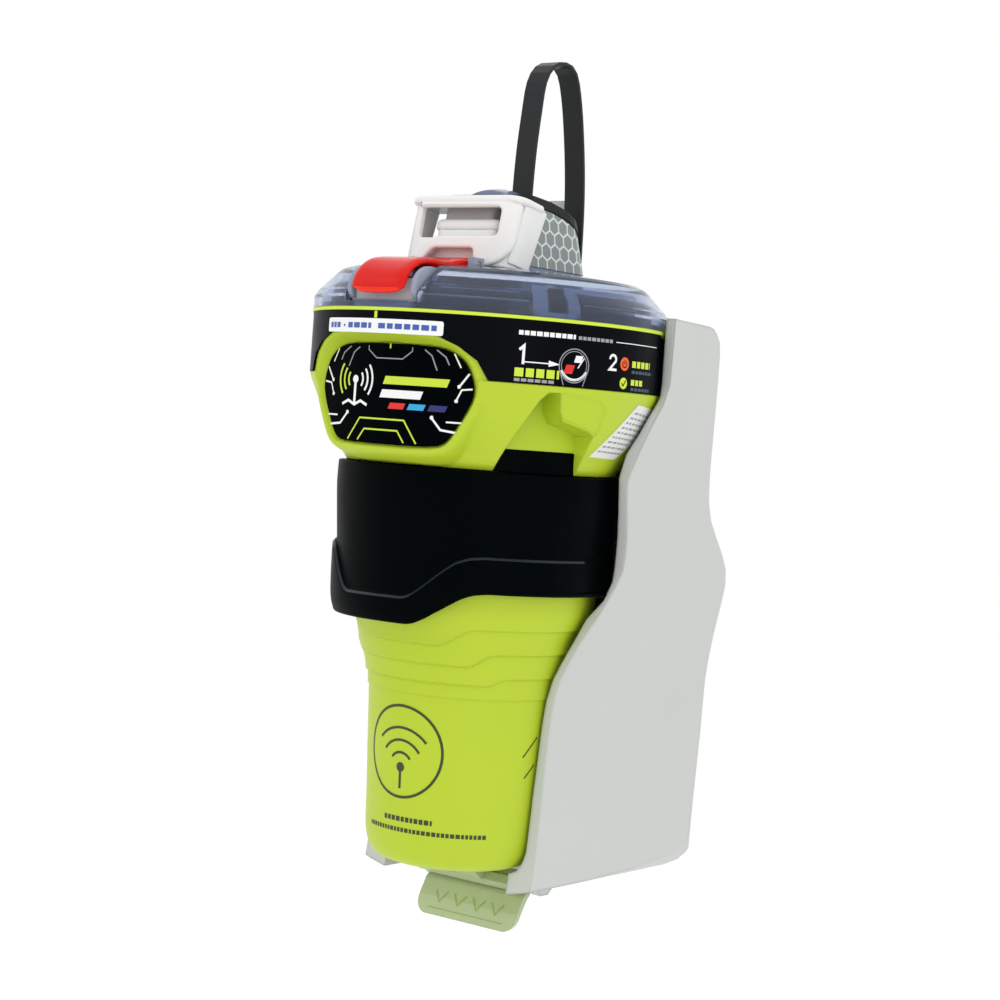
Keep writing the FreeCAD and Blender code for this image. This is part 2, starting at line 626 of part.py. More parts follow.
def bracket_section(z, inset):
    half = eased(REAR_HALF_WIDTH, z) - inset
    ridge = V(eased(RIDGE_X, z) - inset, eased(RIDGE_Y, z), 0)
    front = V(eased(FRONT_X, z) - inset, interpolated(FRONT_Y, z), 0)
    corner = 4.0
    rear = V(half, WALL_Y - corner, 0)
    # The section runs on past the wall so that the side outline trims it to one flat wall face.
    right = [(half - corner, WALL_Y + 3.0), (half - corner, WALL_Y),
             (half - 0.29 * corner, WALL_Y - 0.29 * corner), (rear.x, rear.y)]
    before = ridge + (rear - ridge) * 0.14
    after = ridge + (front - ridge) * 0.4
    for t in (0.0, 0.25, 0.5, 0.75, 1.0):
        point = before * (1 - t) ** 2 + ridge * (2 * t * (1 - t)) + after * t ** 2
        right.append((point.x, point.y))
    right.append((front.x, front.y))
    points = right + [(-x, y) for x, y in reversed(right)]
    return plan_wire(points, z)


def bracket_side_outline(inset):
    """Side view of the bracket: top and bottom round over to the wall plane."""
    points = [(-40.0, -6.6 + inset), (50.0, -6.6 + inset), (57.0, -4.4 + inset)]
    points += [(61.5 - inset, 1.0 + inset), (WALL_Y - inset, 10.0), (WALL_Y - inset, 159.0)]
    for degrees in (15, 30, 45, 60, 75, 90):
        a = math.radians(degrees)
        radius = 14.0 - inset
        points.append((50.0 + radius * math.cos(a), 159.0 + radius * math.sin(a)))
    points.append((-40.0, BRACKET_TOP_Z - inset))
    return points


def bracket_front_outline(inset):
    """Front view of the bracket's lower end: the underside rises towards the sides."""
    half = [(80.0, 200.0), (80.0, 24.0), (53.0, 14.0), (49.2, 7.0), (47.6, 3.2), (45.0, 0.4), (41.5, -1.6),
            (36.5, -3.4), (31.0, -5.2), (25.0, -6.6)]
    right = [(x, z + inset) for x, z in half]
    return right + [(-x, z) for x, z in reversed(right)]


def bracket_body(inset):
    wires = [bracket_section(z, inset) for z in SECTION_HEIGHTS]
    body = Part.makeLoft(wires, True, True)
    body = body.common(side_prism(bracket_side_outline(inset), -80, 80))
    return body.common(front_prism(bracket_front_outline(inset), -60.0, 80.0))


def pocket_solid(grow, z0):
    table = [(r + grow, z) for z, r in POCKET_R if z > z0]
    start = interpolated(POCKET_R, z0) + grow
    half_round = revolved([(0.0, z0), (start, z0)] + table + [(0.0, table[-1][1])])
    half_round = half_round.common(box(-90, 90, 0, POCKET_BACK_Y + grow, z0, 200))
    outline = [(start, z0)] + [(r, z) for r, z in table]
    ahead = front_prism(outline + [(-r, z) for r, z in reversed(outline)], -60.0, 0.0)
    return half_round.fuse(ahead)


def screw_places():
    places = []
    for side in (-1, 1):
        for level in (-1, 1):
            places.append((side * SCREW_SPACING_X / 2, SCREW_CENTRE_Z + level * SCREW_SPACING_Z / 2))
    return places


def bracket_shell():
    shell = bracket_body(0.0).cut(pocket_solid(0.0, SHELF_TOP_Z))
    hollow = bracket_body(BRACKET_WALL).common(box(-90, 90, 26, 70, -40, 200))
    hollow = hollow.fuse(box(-38, 38, WALL_Y - 4, WALL_Y + 2, 12, 156))
    hollow = hollow.cut(pocket_solid(BRACKET_WALL, SHELF_TOP_Z - BRACKET_WALL))
    shell = shell.cut(hollow)
    # Clear the underside ahead of the wall for the release tab.
    shell = shell.cut(box(-24.2, 24.2, -60, 22.4, -20, -2.4))
    shell = shell.cut(rounded_corners(box(-24.2, 24.2, -60, 13.0, -20, 20), Z_AXIS, 3.0))
    additions = []
    for x, z in screw_places():
        front_y = math.sqrt(max(pocket_radius(z) ** 2 - x * x, 0.0)) + 1.2
        additions.append(rod(7.6, V(x, min(front_y, POCKET_BACK_Y) + 0.6, z), V(x, WALL_Y, z)))
    for z in (30.0, 90.0, 150.0):
        depth = box(-38, 38, 30, WALL_Y - 0.6, z - 1.2, z + 1.2).cut(pocket_solid(0.6, SHELF_TOP_Z))
        additions.append(depth.common(bracket_body(0.6)))
    shell = fused([shell] + additions).cut(pocket_solid(0.0, SHELF_TOP_Z))
    for x, z in screw_places():
        shell = shell.cut(rod(SCREW_HOLE_R, V(x, 0, z), V(x, WALL_Y + 5, z)))
        shell = shell.cut(rod(SCREW_HEAD_R, V(x, 0, z), V(x, WALL_Y - 4.0, z)))
    shell = shell.cut(rod(6.2, V(0, POCKET_BACK_Y - 1, 112), V(0, POCKET_BACK_Y + 1.6, 112)))
    # Ears each side of the tab for its pin.
    details = []
    for side in (-1, 1):
        x0 = 21.4 if side > 0 else -24.6
        details.append(side_prism([(12.6, -1.0), (12.6, -7.2), (15.0, -9.6), (19.0, -9.6), (21.6, -7.2),
                                   (21.6, -1.0)], x0, x0 + 3.2))
    shell = fused([shell] + details)
    pin_bore = rod(TAB_PIN_R + SLIP, V(-24.0, TAB_PIN_Y, TAB_PIN_Z), V(24.0, TAB_PIN_Y, TAB_PIN_Z))
    return shell.cut(pin_bore).removeSplitter()


def aerial_keeper():
    """Upright plate behind and to the left of the folded aerial, ribbed down to the bracket's top."""
    plate = box(-14.0, -0.6, POCKET_BACK_Y, POCKET_BACK_Y + 2.4, BRACKET_TOP_Z, 212.4)
    trim = rounded_corners(box(-14.0, -0.6, 40.0, 60.0, 150.0, 212.4), Y_AXIS, 2.0)
    rib = side_prism([(POCKET_BACK_Y + 2, BRACKET_TOP_Z), (POCKET_BACK_Y + 2, 195.0),
                      (POCKET_BACK_Y + 5.6, BRACKET_TOP_Z)], -8.0, -5.0)
    return fused([plate.common(trim), rib])


def pocket_radius(z):
    return interpolated(POCKET_R, z)


def magnet():
    return rod(6.0, V(0, POCKET_BACK_Y - 0.1, 112), V(0, POCKET_BACK_Y + 1.55, 112))


def latch_pin():
    return rod(TAB_PIN_R, V(-23.9, TAB_PIN_Y, TAB_PIN_Z), V(23.9, TAB_PIN_Y, TAB_PIN_Z))


def latch_spring():
    """Torsion spring on the pin, drawn as its close-wound coil and two short legs."""
    coil = rod(2.7, V(-2.4, TAB_PIN_Y, TAB_PIN_Z), V(2.4, TAB_PIN_Y, TAB_PIN_Z))
    coil = coil.cut(rod(1.9, V(-5, TAB_PIN_Y, TAB_PIN_Z), V(5, TAB_PIN_Y, TAB_PIN_Z)))
    leg = box(-2.2, -1.4, TAB_PIN_Y + 1.0, TAB_PIN_Y + 5.2, TAB_PIN_Z + 1.9, TAB_PIN_Z + 2.6)
    return coil.fuse(leg).removeSplitter()


def release_tab():
    pin_y = TAB_PIN_Y
    pin_z = TAB_PIN_Z
    pieces = []
    for x0, x1 in ((-20.8, -3.2), (3.2, 20.8)):
        pieces.append(rod(3.2, V(x0, pin_y, pin_z), V(x1, pin_y, pin_z)))
    plate = side_prism([(15.4, -8.4), (17.6, -8.8), (14.6, -12.0), (11.8, -16.6), (9.6, -21.6), (7.9, -21.6),
                        (9.8, -16.0), (12.6, -11.0)], -TAB_HALF_WIDTH, TAB_HALF_WIDTH)
    trim = rounded_corners(box(-TAB_HALF_WIDTH, TAB_HALF_WIDTH, -20, 40, -21.7, 0), Y_AXIS, 4.5)
    plate = plate.common(trim.fuse(box(-TAB_HALF_WIDTH, TAB_HALF_WIDTH, -20, 40, -12, 0)))
    # The lever ends in a hook whose barb reaches back over the lip of the notch in the foot.
    lever = side_prism([(14.6, -7.6), (15.6, -4.0), (11.8, -3.4), (10.0, -2.2), (10.0, 1.9), (12.0, 1.9),
                        (12.0, 2.3), (10.4, 2.9), (7.4, 2.9), (7.0, 2.2), (7.0, -5.2), (10.0, -7.2)],
                       -5.0, 5.0)
    bridge = side_prism([(13.2, -9.6), (14.2, -5.4), (12.0, -4.6), (10.2, -7.0)], -20.0, 20.0)
    whole = fused(pieces + [plate, lever, bridge])
    whole = whole.cut(rod(3.1, V(-3.2, pin_y, pin_z), V(3.2, pin_y, pin_z)))
    return whole.cut(rod(TAB_PIN_R + 0.06, V(-30, pin_y, pin_z), V(30, pin_y, pin_z))).removeSplitter()


# ---------------------------------------------------------------- export
def save(name, shape):
    placed = shape.copy()
    placed.translate(V(0, -WALL_Y, -SCREW_CENTRE_Z))
    placed.exportStep("parts/" + name + ".step")
    print(name, len(placed.Solids), "valid" if placed.isValid() else "INVALID")


os.makedirs("parts", exist_ok=True)
save("lower_housing", lower_housing())
save("grip_band", grip_band())
save("upper_housing", upper_housing())
save("badge_panel", badge_panel())
save("wrap_label", wrap_label())
save("id_sticker", id_sticker())
save("lens", lens())
save("lens_seal", lens_seal())
save("top_deck", top_deck())
save("led_board", led_board())
for index, degrees in enumerate(LAMP_DEGREES):
    save("strobe_lamp_%d" % (index + 1), strobe_lamp(degrees))
save("button_pod", button_pod())
save("on_off_button", push_button(-45.0, 4.0, 178.8))
save("test_button", push_button(-34.5, 4.0, 179.4))
save("hinge_posts", hinge_posts())
save("cover_pin", cover_pin())
save("thumb_cover", thumb_cover())
save("tower_housing", tower_housing())
save("tower_cap", tower_cap())
save("reflective_tape", reflective_tape())
save("crown_window", crown_window())
save("gnss_antenna", gnss_antenna())
save("antenna_blade", antenna_blade())
save("antenna_boot", antenna_boot())
save("antenna_tip", antenna_tip())
save("lanyard_frame", lanyard_frame())
save("lanyard_core", lanyard_core())
save("lanyard_reel", lanyard_reel())
for index in range(4):
    save("battery_cell_%d" % (index + 1), battery_cell(index))
save("battery_tray", battery_tray())
save("main_board", main_board())
save("board_frame", board_frame())
for index, (x, y) in enumerate(BOARD_SCREWS):
    save("board_screw_%d" % (index + 1), board_screw(x, y))
save("water_contact_left", water_contact(CONTACT_PLACES[0]))
save("water_contact_right", water_contact(CONTACT_PLACES[1]))
save("bracket_shell", bracket_shell())
save("aerial_keeper", aerial_keeper())
save("magnet", magnet())
save("latch_pin", latch_pin())
save("latch_spring", latch_spring())
save("release_tab", release_tab())
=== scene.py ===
import bmesh
import bpy
import json
import math
import random
import numpy as np
from mathutils import Vector, Matrix


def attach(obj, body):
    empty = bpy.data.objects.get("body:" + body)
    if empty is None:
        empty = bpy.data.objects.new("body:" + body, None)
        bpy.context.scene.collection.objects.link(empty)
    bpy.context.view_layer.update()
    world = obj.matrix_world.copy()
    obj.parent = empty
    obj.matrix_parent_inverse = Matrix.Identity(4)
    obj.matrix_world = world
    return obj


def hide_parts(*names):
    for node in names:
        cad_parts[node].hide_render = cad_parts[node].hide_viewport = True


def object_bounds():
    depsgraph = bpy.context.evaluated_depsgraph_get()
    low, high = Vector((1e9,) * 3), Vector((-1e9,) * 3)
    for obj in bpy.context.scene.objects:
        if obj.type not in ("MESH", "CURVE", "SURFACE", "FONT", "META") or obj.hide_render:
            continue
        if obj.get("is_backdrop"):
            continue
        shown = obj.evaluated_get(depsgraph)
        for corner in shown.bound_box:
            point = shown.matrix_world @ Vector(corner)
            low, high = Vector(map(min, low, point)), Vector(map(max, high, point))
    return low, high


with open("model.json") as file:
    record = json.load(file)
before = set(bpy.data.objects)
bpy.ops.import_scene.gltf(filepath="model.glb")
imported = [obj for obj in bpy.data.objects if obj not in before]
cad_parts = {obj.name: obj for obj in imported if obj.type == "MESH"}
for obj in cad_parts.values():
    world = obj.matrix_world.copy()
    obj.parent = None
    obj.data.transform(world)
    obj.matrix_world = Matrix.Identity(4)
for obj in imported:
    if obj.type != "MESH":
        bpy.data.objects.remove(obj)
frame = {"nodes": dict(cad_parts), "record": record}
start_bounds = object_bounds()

random.seed(7)
NODES = frame["nodes"]
WALL_Y = 64.0
CENTRE_Z = 90.0


def row(x, y, z):
    """Beacon millimetres (axis at x = y = 0, foot at z = 0) to the row frame in metres."""
    return (x / 1000.0, (y - WALL_Y) / 1000.0, (z - CENTRE_Z) / 1000.0)


def polar(r, t, z, back=math.inf):
    """Point at radius r and angle t from the front, cut off flat at y = back."""
    return (r * math.sin(t), min(-r * math.cos(t), back), z)


def added(name, data):
    """A new object in the scene."""
    obj = bpy.data.objects.new(name, data)
    bpy.context.scene.collection.objects.link(obj)
    return obj


# ---- materials
def node(tree, kind, **values):
    made = tree.nodes.new(kind)
    for key, value in values.items():
        if key in made.inputs:
            made.inputs[key].default_value = value
        else:
            setattr(made, key, value)
    return made


def maths(tree, operation, *values):
    """Output of a maths node; each value is a number or another node's output."""
    made = node(tree, "ShaderNodeMath", operation=operation)
    for slot, value in enumerate(values):
        if isinstance(value, (int, float)):
            made.inputs[slot].default_value = value
        else:
            tree.links.new(value, made.inputs[slot])
    return made.outputs[0]


def ramp(tree, value, low, high, kind="SMOOTHSTEP"):
    """0 where the value is at low and 1 where it is at high."""
    made = node(tree, "ShaderNodeMapRange", interpolation_type=kind)
    tree.links.new(value, made.inputs["Value"])
    made.inputs["From Min"].default_value = low
    made.inputs["From Max"].default_value = high
    return made.outputs["Result"]


def blended(tree, factor, first, second):
    """Colour between two others, each a linear triple or a node's output."""
    made = node(tree, "ShaderNodeMix", data_type="RGBA")
    tree.links.new(factor, made.inputs["Factor"])
    for slot, color in ((6, first), (7, second)):
        if isinstance(color, tuple):
            made.inputs[slot].default_value = color + (1,)
        else:
            tree.links.new(color, made.inputs[slot])
    return made.outputs[2]


def linear(r, g, b):
    """sRGB 0..255 to linear."""
    shares = (r / 255.0, g / 255.0, b / 255.0)
    return tuple(c / 12.92 if c <= 0.04045 else ((c + 0.055) / 1.055) ** 2.4 for c in shares)


def surface(name, rgb, rough=0.4, rough_spread=0.08, mottle=0.05, grain=0.25, grain_scale=2600.0,
            edge=0.0006, coat=0.0, metallic=0.0, transmission=0.0, ior=1.46, specular=0.5):
    """Procedural plastic or metal: mottled sRGB colour, uneven roughness, fine grain and softened edges."""
    mat = bpy.data.materials.new(name)
    mat.use_nodes = True
    tree = mat.node_tree
    link = tree.links.new
    shader = tree.nodes["Principled BSDF"]
    place = node(tree, "ShaderNodeTexCoord")
    broad = node(tree, "ShaderNodeTexNoise", Scale=38.0, Detail=4.0)
    fine = node(tree, "ShaderNodeTexNoise", Scale=grain_scale, Detail=2.0)
    smudge = node(tree, "ShaderNodeTexNoise", Scale=120.0, Detail=6.0)
    for texture in (broad, fine, smudge):
        link(place.outputs["Object"], texture.inputs["Vector"])
    color = linear(*rgb)
    shade = blended(tree, broad.outputs["Fac"], tuple(c * (1 - mottle) for c in color),
                    tuple(min(1, c * (1 + mottle)) for c in color))
    spread = node(tree, "ShaderNodeMapRange")
    link(smudge.outputs["Fac"], spread.inputs["Value"])
    spread.inputs["To Min"].default_value = max(0.02, rough - rough_spread)
    spread.inputs["To Max"].default_value = min(1.0, rough + rough_spread)
    link(shade, shader.inputs["Base Color"])
    link(spread.outputs["Result"], shader.inputs["Roughness"])
    bump = node(tree, "ShaderNodeBump", Strength=grain, Distance=0.00006)
    link(fine.outputs["Fac"], bump.inputs["Height"])
    if edge > 0:
        soft = node(tree, "ShaderNodeBevel", samples=4, Radius=edge)
        link(soft.outputs["Normal"], bump.inputs["Normal"])
    link(bump.outputs["Normal"], shader.inputs["Normal"])
    for key, value in (("Metallic", metallic), ("Coat Weight", coat), ("Coat Roughness", 0.12), ("IOR", ior),
                       ("Transmission Weight", transmission), ("Specular IOR Level", specular)):
        shader.inputs[key].default_value = value
    return mat


def ink(name, r, g, b, rough=0.4):
    """Flat printing ink."""
    return surface("Ink_" + name, (r, g, b), rough=rough, grain=0.0, edge=0.0)


GREEN = surface("Beacon_green", (180, 202, 44), rough=0.42, grain=0.18, mottle=0.03, specular=0.35)
BLACK = surface("Band_black", (1, 4, 5), rough=0.42, grain=0.3, mottle=0.15, specular=0.022)
# Dark grey, lighter than the band black: painted highlight for the strip on the chin's bevel.
BEVEL_HIGHLIGHT = surface("Bevel_painted_highlight", (30, 40, 44), rough=0.3, grain=0.1, mottle=0.3, edge=0.0, specular=0.2)
LABEL = surface("Label_black", (5, 7, 12), rough=0.35, grain=0.08, mottle=0.1, edge=0.0002, specular=0.04)
BADGE = surface("Badge_black", (1, 4, 6), rough=0.3, grain=0.05, mottle=0.1, edge=0.0002, specular=0.015)
WHITE = surface("Moulded_white", (235, 235, 233), rough=0.38, grain=0.15, mottle=0.015, edge=0.0009)
BRACKET = surface("Bracket_white", (194, 197, 193), rough=0.5, grain=0.25, mottle=0.02, edge=0.0016)
CAP = surface("Cap_black", (22, 25, 27), rough=0.45, grain=0.3, mottle=0.12, specular=0.2)
BLADE = surface("Blade_black", (20, 24, 26), rough=0.34, grain=0.12, mottle=0.12, edge=0.0002, specular=0.3)
NAVY = surface("Deck_navy", (14, 24, 50), rough=0.45, grain=0.2, mottle=0.25, specular=0.2)
SEAL = surface("Seal_green", (205, 228, 60), rough=0.5, grain=0.1, edge=0.0002)
BOARD = surface("Board_green", (24, 70, 48), rough=0.5, grain=0.2, mottle=0.3)
GREY = surface("Inner_grey", (110, 112, 115), rough=0.55)
STEEL = surface("Stainless", (190, 190, 188), rough=0.28, metallic=1.0, grain=0.2, edge=0.0002)
RED = surface("Cover_red", (214, 10, 0), rough=0.15, rough_spread=0.04, grain=0.02, mottle=0.06, edge=0.0005,
              specular=0.26)
# Lighter orange copy of the cover red: painted light on the rounded front lip.
RED_LIP_LIGHT = surface("Cover_red_painted_light", (240, 44, 10), rough=0.14, rough_spread=0.04, grain=0.02, mottle=0.06,
                   edge=0.0004, specular=0.26)
CLEAR = surface("Lens_clear", (194, 205, 226), rough=0.06, rough_spread=0.02, grain=0.01, mottle=0.02,
                edge=0.0005, transmission=0.94, ior=1.22, specular=0.2)
FROST = surface("Lens_frosted", (186, 196, 216), rough=0.25, grain=0.03, mottle=0.06, edge=0.0004,
                transmission=0.45, ior=1.35)
LAMP = surface("Lamp_clear", (235, 235, 210), rough=0.1, transmission=0.6, edge=0.0)
TOWER = surface("Tower_blue", (128, 146, 178), rough=0.12, grain=0.03, edge=0.0005, transmission=0.35, coat=0.4)
TAB = surface("Tab_green", (190, 203, 160), rough=0.3, grain=0.15, mottle=0.04, transmission=0.12, specular=0.3)
STICKER = surface("Sticker_white", (226, 228, 224), rough=0.4, grain=0.05, edge=0.0001)
CELL = surface("Cell_wrap", (40, 70, 130), rough=0.4)
KEY_RED = surface("Key_red", (190, 40, 20), rough=0.5)
KEY_GREEN = surface("Key_green", (60, 140, 50), rough=0.5)
MAGNET = surface("Magnet", (150, 150, 150), rough=0.35, metallic=1.0)
PATCH = surface("Ceramic", (200, 190, 160), rough=0.4)
INK_WHITE = ink("white", 240, 240, 240)
INK_GREEN = ink("green", 200, 222, 50)
INK_GREY = ink("grey", 150, 152, 156)
INK_BLUE = ink("blue", 60, 90, 170)
INK_SKY = ink("sky", 40, 160, 215)
INK_RED = ink("red", 220, 30, 30)
INK_ORANGE = ink("orange", 235, 90, 30)
INK_DARK = ink("dark", 52, 60, 24, rough=0.45)
INK_NAVY = ink("navy", 30, 35, 110)
INK_LINE = ink("line_teal", 36, 66, 92)


ROOT3 = math.sqrt(3)
LINE_INNER, LINE_OUTER = 0.415, 0.455  # where the light line begins and is full, in hexagon widths


def hexagon_tape():
    """Retroreflective tape: grey hexagon cells parted by light lines, laid out in the mesh's own UV map."""
    mat = surface("Hexagon_tape", (128, 138, 136), rough=0.3, grain=0.1, edge=0.0)
    tree = mat.node_tree
    uv = node(tree, "ShaderNodeUVMap", uv_map="tape")
    split = node(tree, "ShaderNodeSeparateXYZ")
    tree.links.new(uv.outputs["UV"], split.inputs["Vector"])

    def offset(axis, shift, period):
        """Distance along one axis from the middle of the nearest cell."""
        wrapped = maths(tree, "FLOORED_MODULO", maths(tree, "ADD", split.outputs[axis], shift), period)
        return maths(tree, "SUBTRACT", wrapped, period / 2)

    def cell_distance(dx, dy):
        """Distance from the middle of the hexagon cell, for cells one unit wide, flat sides left and right."""
        px, py = offset("X", dx, 1.0), offset("Y", dy, ROOT3)
        ax, ay = maths(tree, "ABSOLUTE", px), maths(tree, "ABSOLUTE", py)
        slanted = maths(tree, "ADD", maths(tree, "MULTIPLY", ax, 0.5), maths(tree, "MULTIPLY", ay, ROOT3 / 2))
        return maths(tree, "MAXIMUM", ax, slanted)

    near = maths(tree, "MINIMUM", cell_distance(0.0, 0.0), cell_distance(0.5, ROOT3 / 2))
    line = ramp(tree, near, LINE_INNER, LINE_OUTER)
    base = tree.nodes["Principled BSDF"].inputs["Base Color"]
    tree.links.new(blended(tree, line, base.links[0].from_socket, linear(214, 219, 216)), base)
    return mat


TAPE = hexagon_tape()


SECTOR_BLUR = 2.0  # degrees
DECK_TOP = (175.4, 176.3)


def angled_deck():
    """Dark deck material with paler frosted sectors at the front and between the lamps, and a bluer top."""
    tree = NAVY.node_tree
    place = node(tree, "ShaderNodeTexCoord")
    split = node(tree, "ShaderNodeSeparateXYZ")
    tree.links.new(place.outputs["Object"], split.inputs["Vector"])
    ahead = maths(tree, "MULTIPLY", maths(tree, "ADD", split.outputs["Y"], WALL_Y / 1000.0), -1.0)
    angle = maths(tree, "ABSOLUTE", maths(tree, "ARCTAN2", split.outputs["X"], ahead))
    turn = maths(tree, "MULTIPLY", angle, 180.0 / math.pi)

    def sector(a, b):
        off_middle = maths(tree, "ABSOLUTE", maths(tree, "SUBTRACT", turn, (a + b) / 2.0))
        return ramp(tree, off_middle, (b - a) / 2.0 + SECTOR_BLUR, (b - a) / 2.0 - SECTOR_BLUR)

    dark = maths(tree, "MAXIMUM", sector(12.0, 51.0), sector(66.0, 132.0))
    base = tree.nodes["Principled BSDF"].inputs["Base Color"]
    sides = blended(tree, dark, linear(150, 162, 190), base.links[0].from_socket)
    low, high = ((z - CENTRE_Z) / 1000.0 for z in DECK_TOP)
    roof = ramp(tree, split.outputs["Z"], low, high, "LINEAR")
    tree.links.new(blended(tree, roof, sides, linear(96, 122, 172)), base)


angled_deck()

LOOKS = {
    "shell_green": GREEN, "band_black": BLACK, "badge_black": BADGE, "label_black": LABEL, "sticker_white": STICKER,
    "lens_clear": CLEAR, "seal_green": SEAL, "deck_navy": NAVY, "board_green": BOARD, "frame_grey": GREY,
    "lamp_clear": LAMP, "pod_black": CAP, "button_red": KEY_RED, "button_green": KEY_GREEN, "steel": STEEL,
    "cover_red": RED, "tower_blue": TOWER, "cap_black": CAP, "tape_silver": TAPE, "patch_ceramic": PATCH,
    "blade_black": BLADE, "frame_white": WHITE, "cell_wrap": CELL, "bracket_white": BRACKET, "magnet_grey": MAGNET,
    "tab_green": TAB,
}
SLOT_OF = {part["node"]: part["material_slot"] for part in frame["record"]["subparts"]}
# Grey for the lanyard core: painted shade in the recess above the reel flange.
CORE_SHADE = surface("Core_grey_painted_shade", (150, 148, 145), rough=0.5)
NODE_LOOKS = {"hinge_posts": FROST, "lanyard_core": CORE_SHADE}
for name, obj in NODES.items():
    for index in range(len(obj.data.materials)):
        obj.data.materials[index] = NODE_LOOKS.get(name, LOOKS[SLOT_OF[name]])


# ---- mesh helpers
def piece(name, points, faces, mat, slot=None, body="beacon", smooth=True, replaced=(), sharp=35.0):
    """A modelled piece in beacon millimetres; edges sharper than `sharp` degrees stay crisp."""
    mesh = bpy.data.meshes.new(name)
    mesh.from_pydata([row(*p) for p in points], [], faces)
    mesh.validate()
    mesh.update()
    obj = added(name, mesh)
    mesh.materials.append(mat)
    if smooth:
        mesh.polygons.foreach_set("use_smooth", [True] * len(mesh.polygons))
        mark_sharp(mesh, sharp)
    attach(obj, body)
    if replaced:
        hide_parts(*replaced)
    return obj


def mark_sharp(mesh, degrees):
    """Keep edges sharper than this angle crisp under smooth shading."""
    limit = math.cos(math.radians(degrees))
    normals = np.array([p.normal for p in mesh.polygons])
    first = {}
    flags = np.zeros(len(mesh.edges), bool)
    for poly in mesh.polygons:
        for loop in poly.loop_indices:
            edge = mesh.loops[loop].edge_index
            if edge in first:
                if float(normals[first[edge]].dot(normals[poly.index])) < limit:
                    flags[edge] = True
            else:
                first[edge] = poly.index
    mesh.edges.foreach_set("use_edge_sharp", flags.tolist())


def around(theta, radii, heights, back=math.inf):
    """A ring of points; radii and heights are numbers or one value for each angle."""
    radii, heights = (np.broadcast_to(v, theta.shape) for v in (radii, heights))
    return [polar(r, t, z, back) for t, r, z in zip(theta, radii, heights)]


def circle_steps(count):
    """Cosine and sine at even steps round a circle."""
    return [(math.cos(2 * math.pi * k / count), math.sin(2 * math.pi * k / count)) for k in range(count)]


def grid_faces(rows, columns, closed=True, flip=False, caps=False):
    """Quads between rows of points, with the first and last row filled in if caps."""
    faces = []
    for i in range(rows - 1):
        for j in range(columns if closed else columns - 1):
            k = (j + 1) % columns
            quad = (i * columns + j, i * columns + k, (i + 1) * columns + k, (i + 1) * columns + j)
            faces.append(quad[::-1] if flip else quad)
    if caps:
        first, last = tuple(range(columns)), tuple(range((rows - 1) * columns, rows * columns))
        faces += [first, last[::-1]] if flip else [first[::-1], last]
    return faces


def lookup(table, x):
    """Table of (x, value) read along straight lines."""
    return np.interp(x, *zip(*table))


def smoothed(table, x, spread):
    """The same with its corners rounded over this distance."""
    x = np.asarray(x, float)
    weights = ((-1, 1), (-0.5, 2), (0, 3), (0.5, 2), (1, 1))
    return sum(weight * lookup(table, x + offset * spread) for offset, weight in weights) / 9.0


def smoothstep(a, b, x):
    t = np.clip((x - a) / (b - a), 0.0, 1.0)
    return t * t * (3 - 2 * t)


def round_outline(points, passes=3):
    """Corner-cutting of a closed outline."""
    for _ in range(passes):
        cut = []
        for (x0, z0), (x1, z1) in zip(points, points[1:] + points[:1]):
            cut.append((0.75 * x0 + 0.25 * x1, 0.75 * z0 + 0.25 * z1))
            cut.append((0.25 * x0 + 0.75 * x1, 0.25 * z0 + 0.75 * z1))
        points = cut
    return points


def outline_distance(points, x, z):
    """Signed distance in mm to a closed outline, negative inside."""
    best = np.full(np.shape(x), 1e9)
    inside = np.zeros(np.shape(x), bool)
    for (x0, z0), (x1, z1) in zip(points, points[1:] + points[:1]):
        ex, ez = x1 - x0, z1 - z0
        length = max(ex * ex + ez * ez, 1e-12)
        t = np.clip(((x - x0) * ex + (z - z0) * ez) / length, 0, 1)
        best = np.minimum(best, np.hypot(x - x0 - t * ex, z - z0 - t * ez))
        crosses = (z0 > z) != (z1 > z)
        where = x0 + (z - z0) * ex / (ez if abs(ez) > 1e-12 else 1e-12)
        inside ^= crosses & (x < where)
    return np.where(inside, -best, best)


def mirrored(half):
    """Closed outline from its right half."""
    return half + [(-x, z) for x, z in reversed(half)]


def filleted(corners, steps=5):
    """Closed outline from (x, z, radius) corners, each rounded by a smooth curve."""
    outline = []
    for i, (x, z, radius) in enumerate(corners):
        here = Vector((x, z))
        before = Vector(corners[i - 1][:2]) - here
        after = Vector(corners[(i + 1) % len(corners)][:2]) - here
        if radius <= 0:
            outline.append((x, z))
            continue
        reach = min(radius, before.length * 0.49, after.length * 0.49)
        a = here + before.normalized() * reach
        b = here + after.normalized() * reach
        for k in range(steps + 1):
            t = k / steps
            p = a * (1 - t) ** 2 + here * (2 * t * (1 - t)) + b * t ** 2
            outline.append((p.x, p.y))
    return outline


def round_rect(x0, x1, z0, z1, radius):
    return filleted([(x0, z0, radius), (x1, z0, radius), (x1, z1, radius), (x0, z1, radius)])


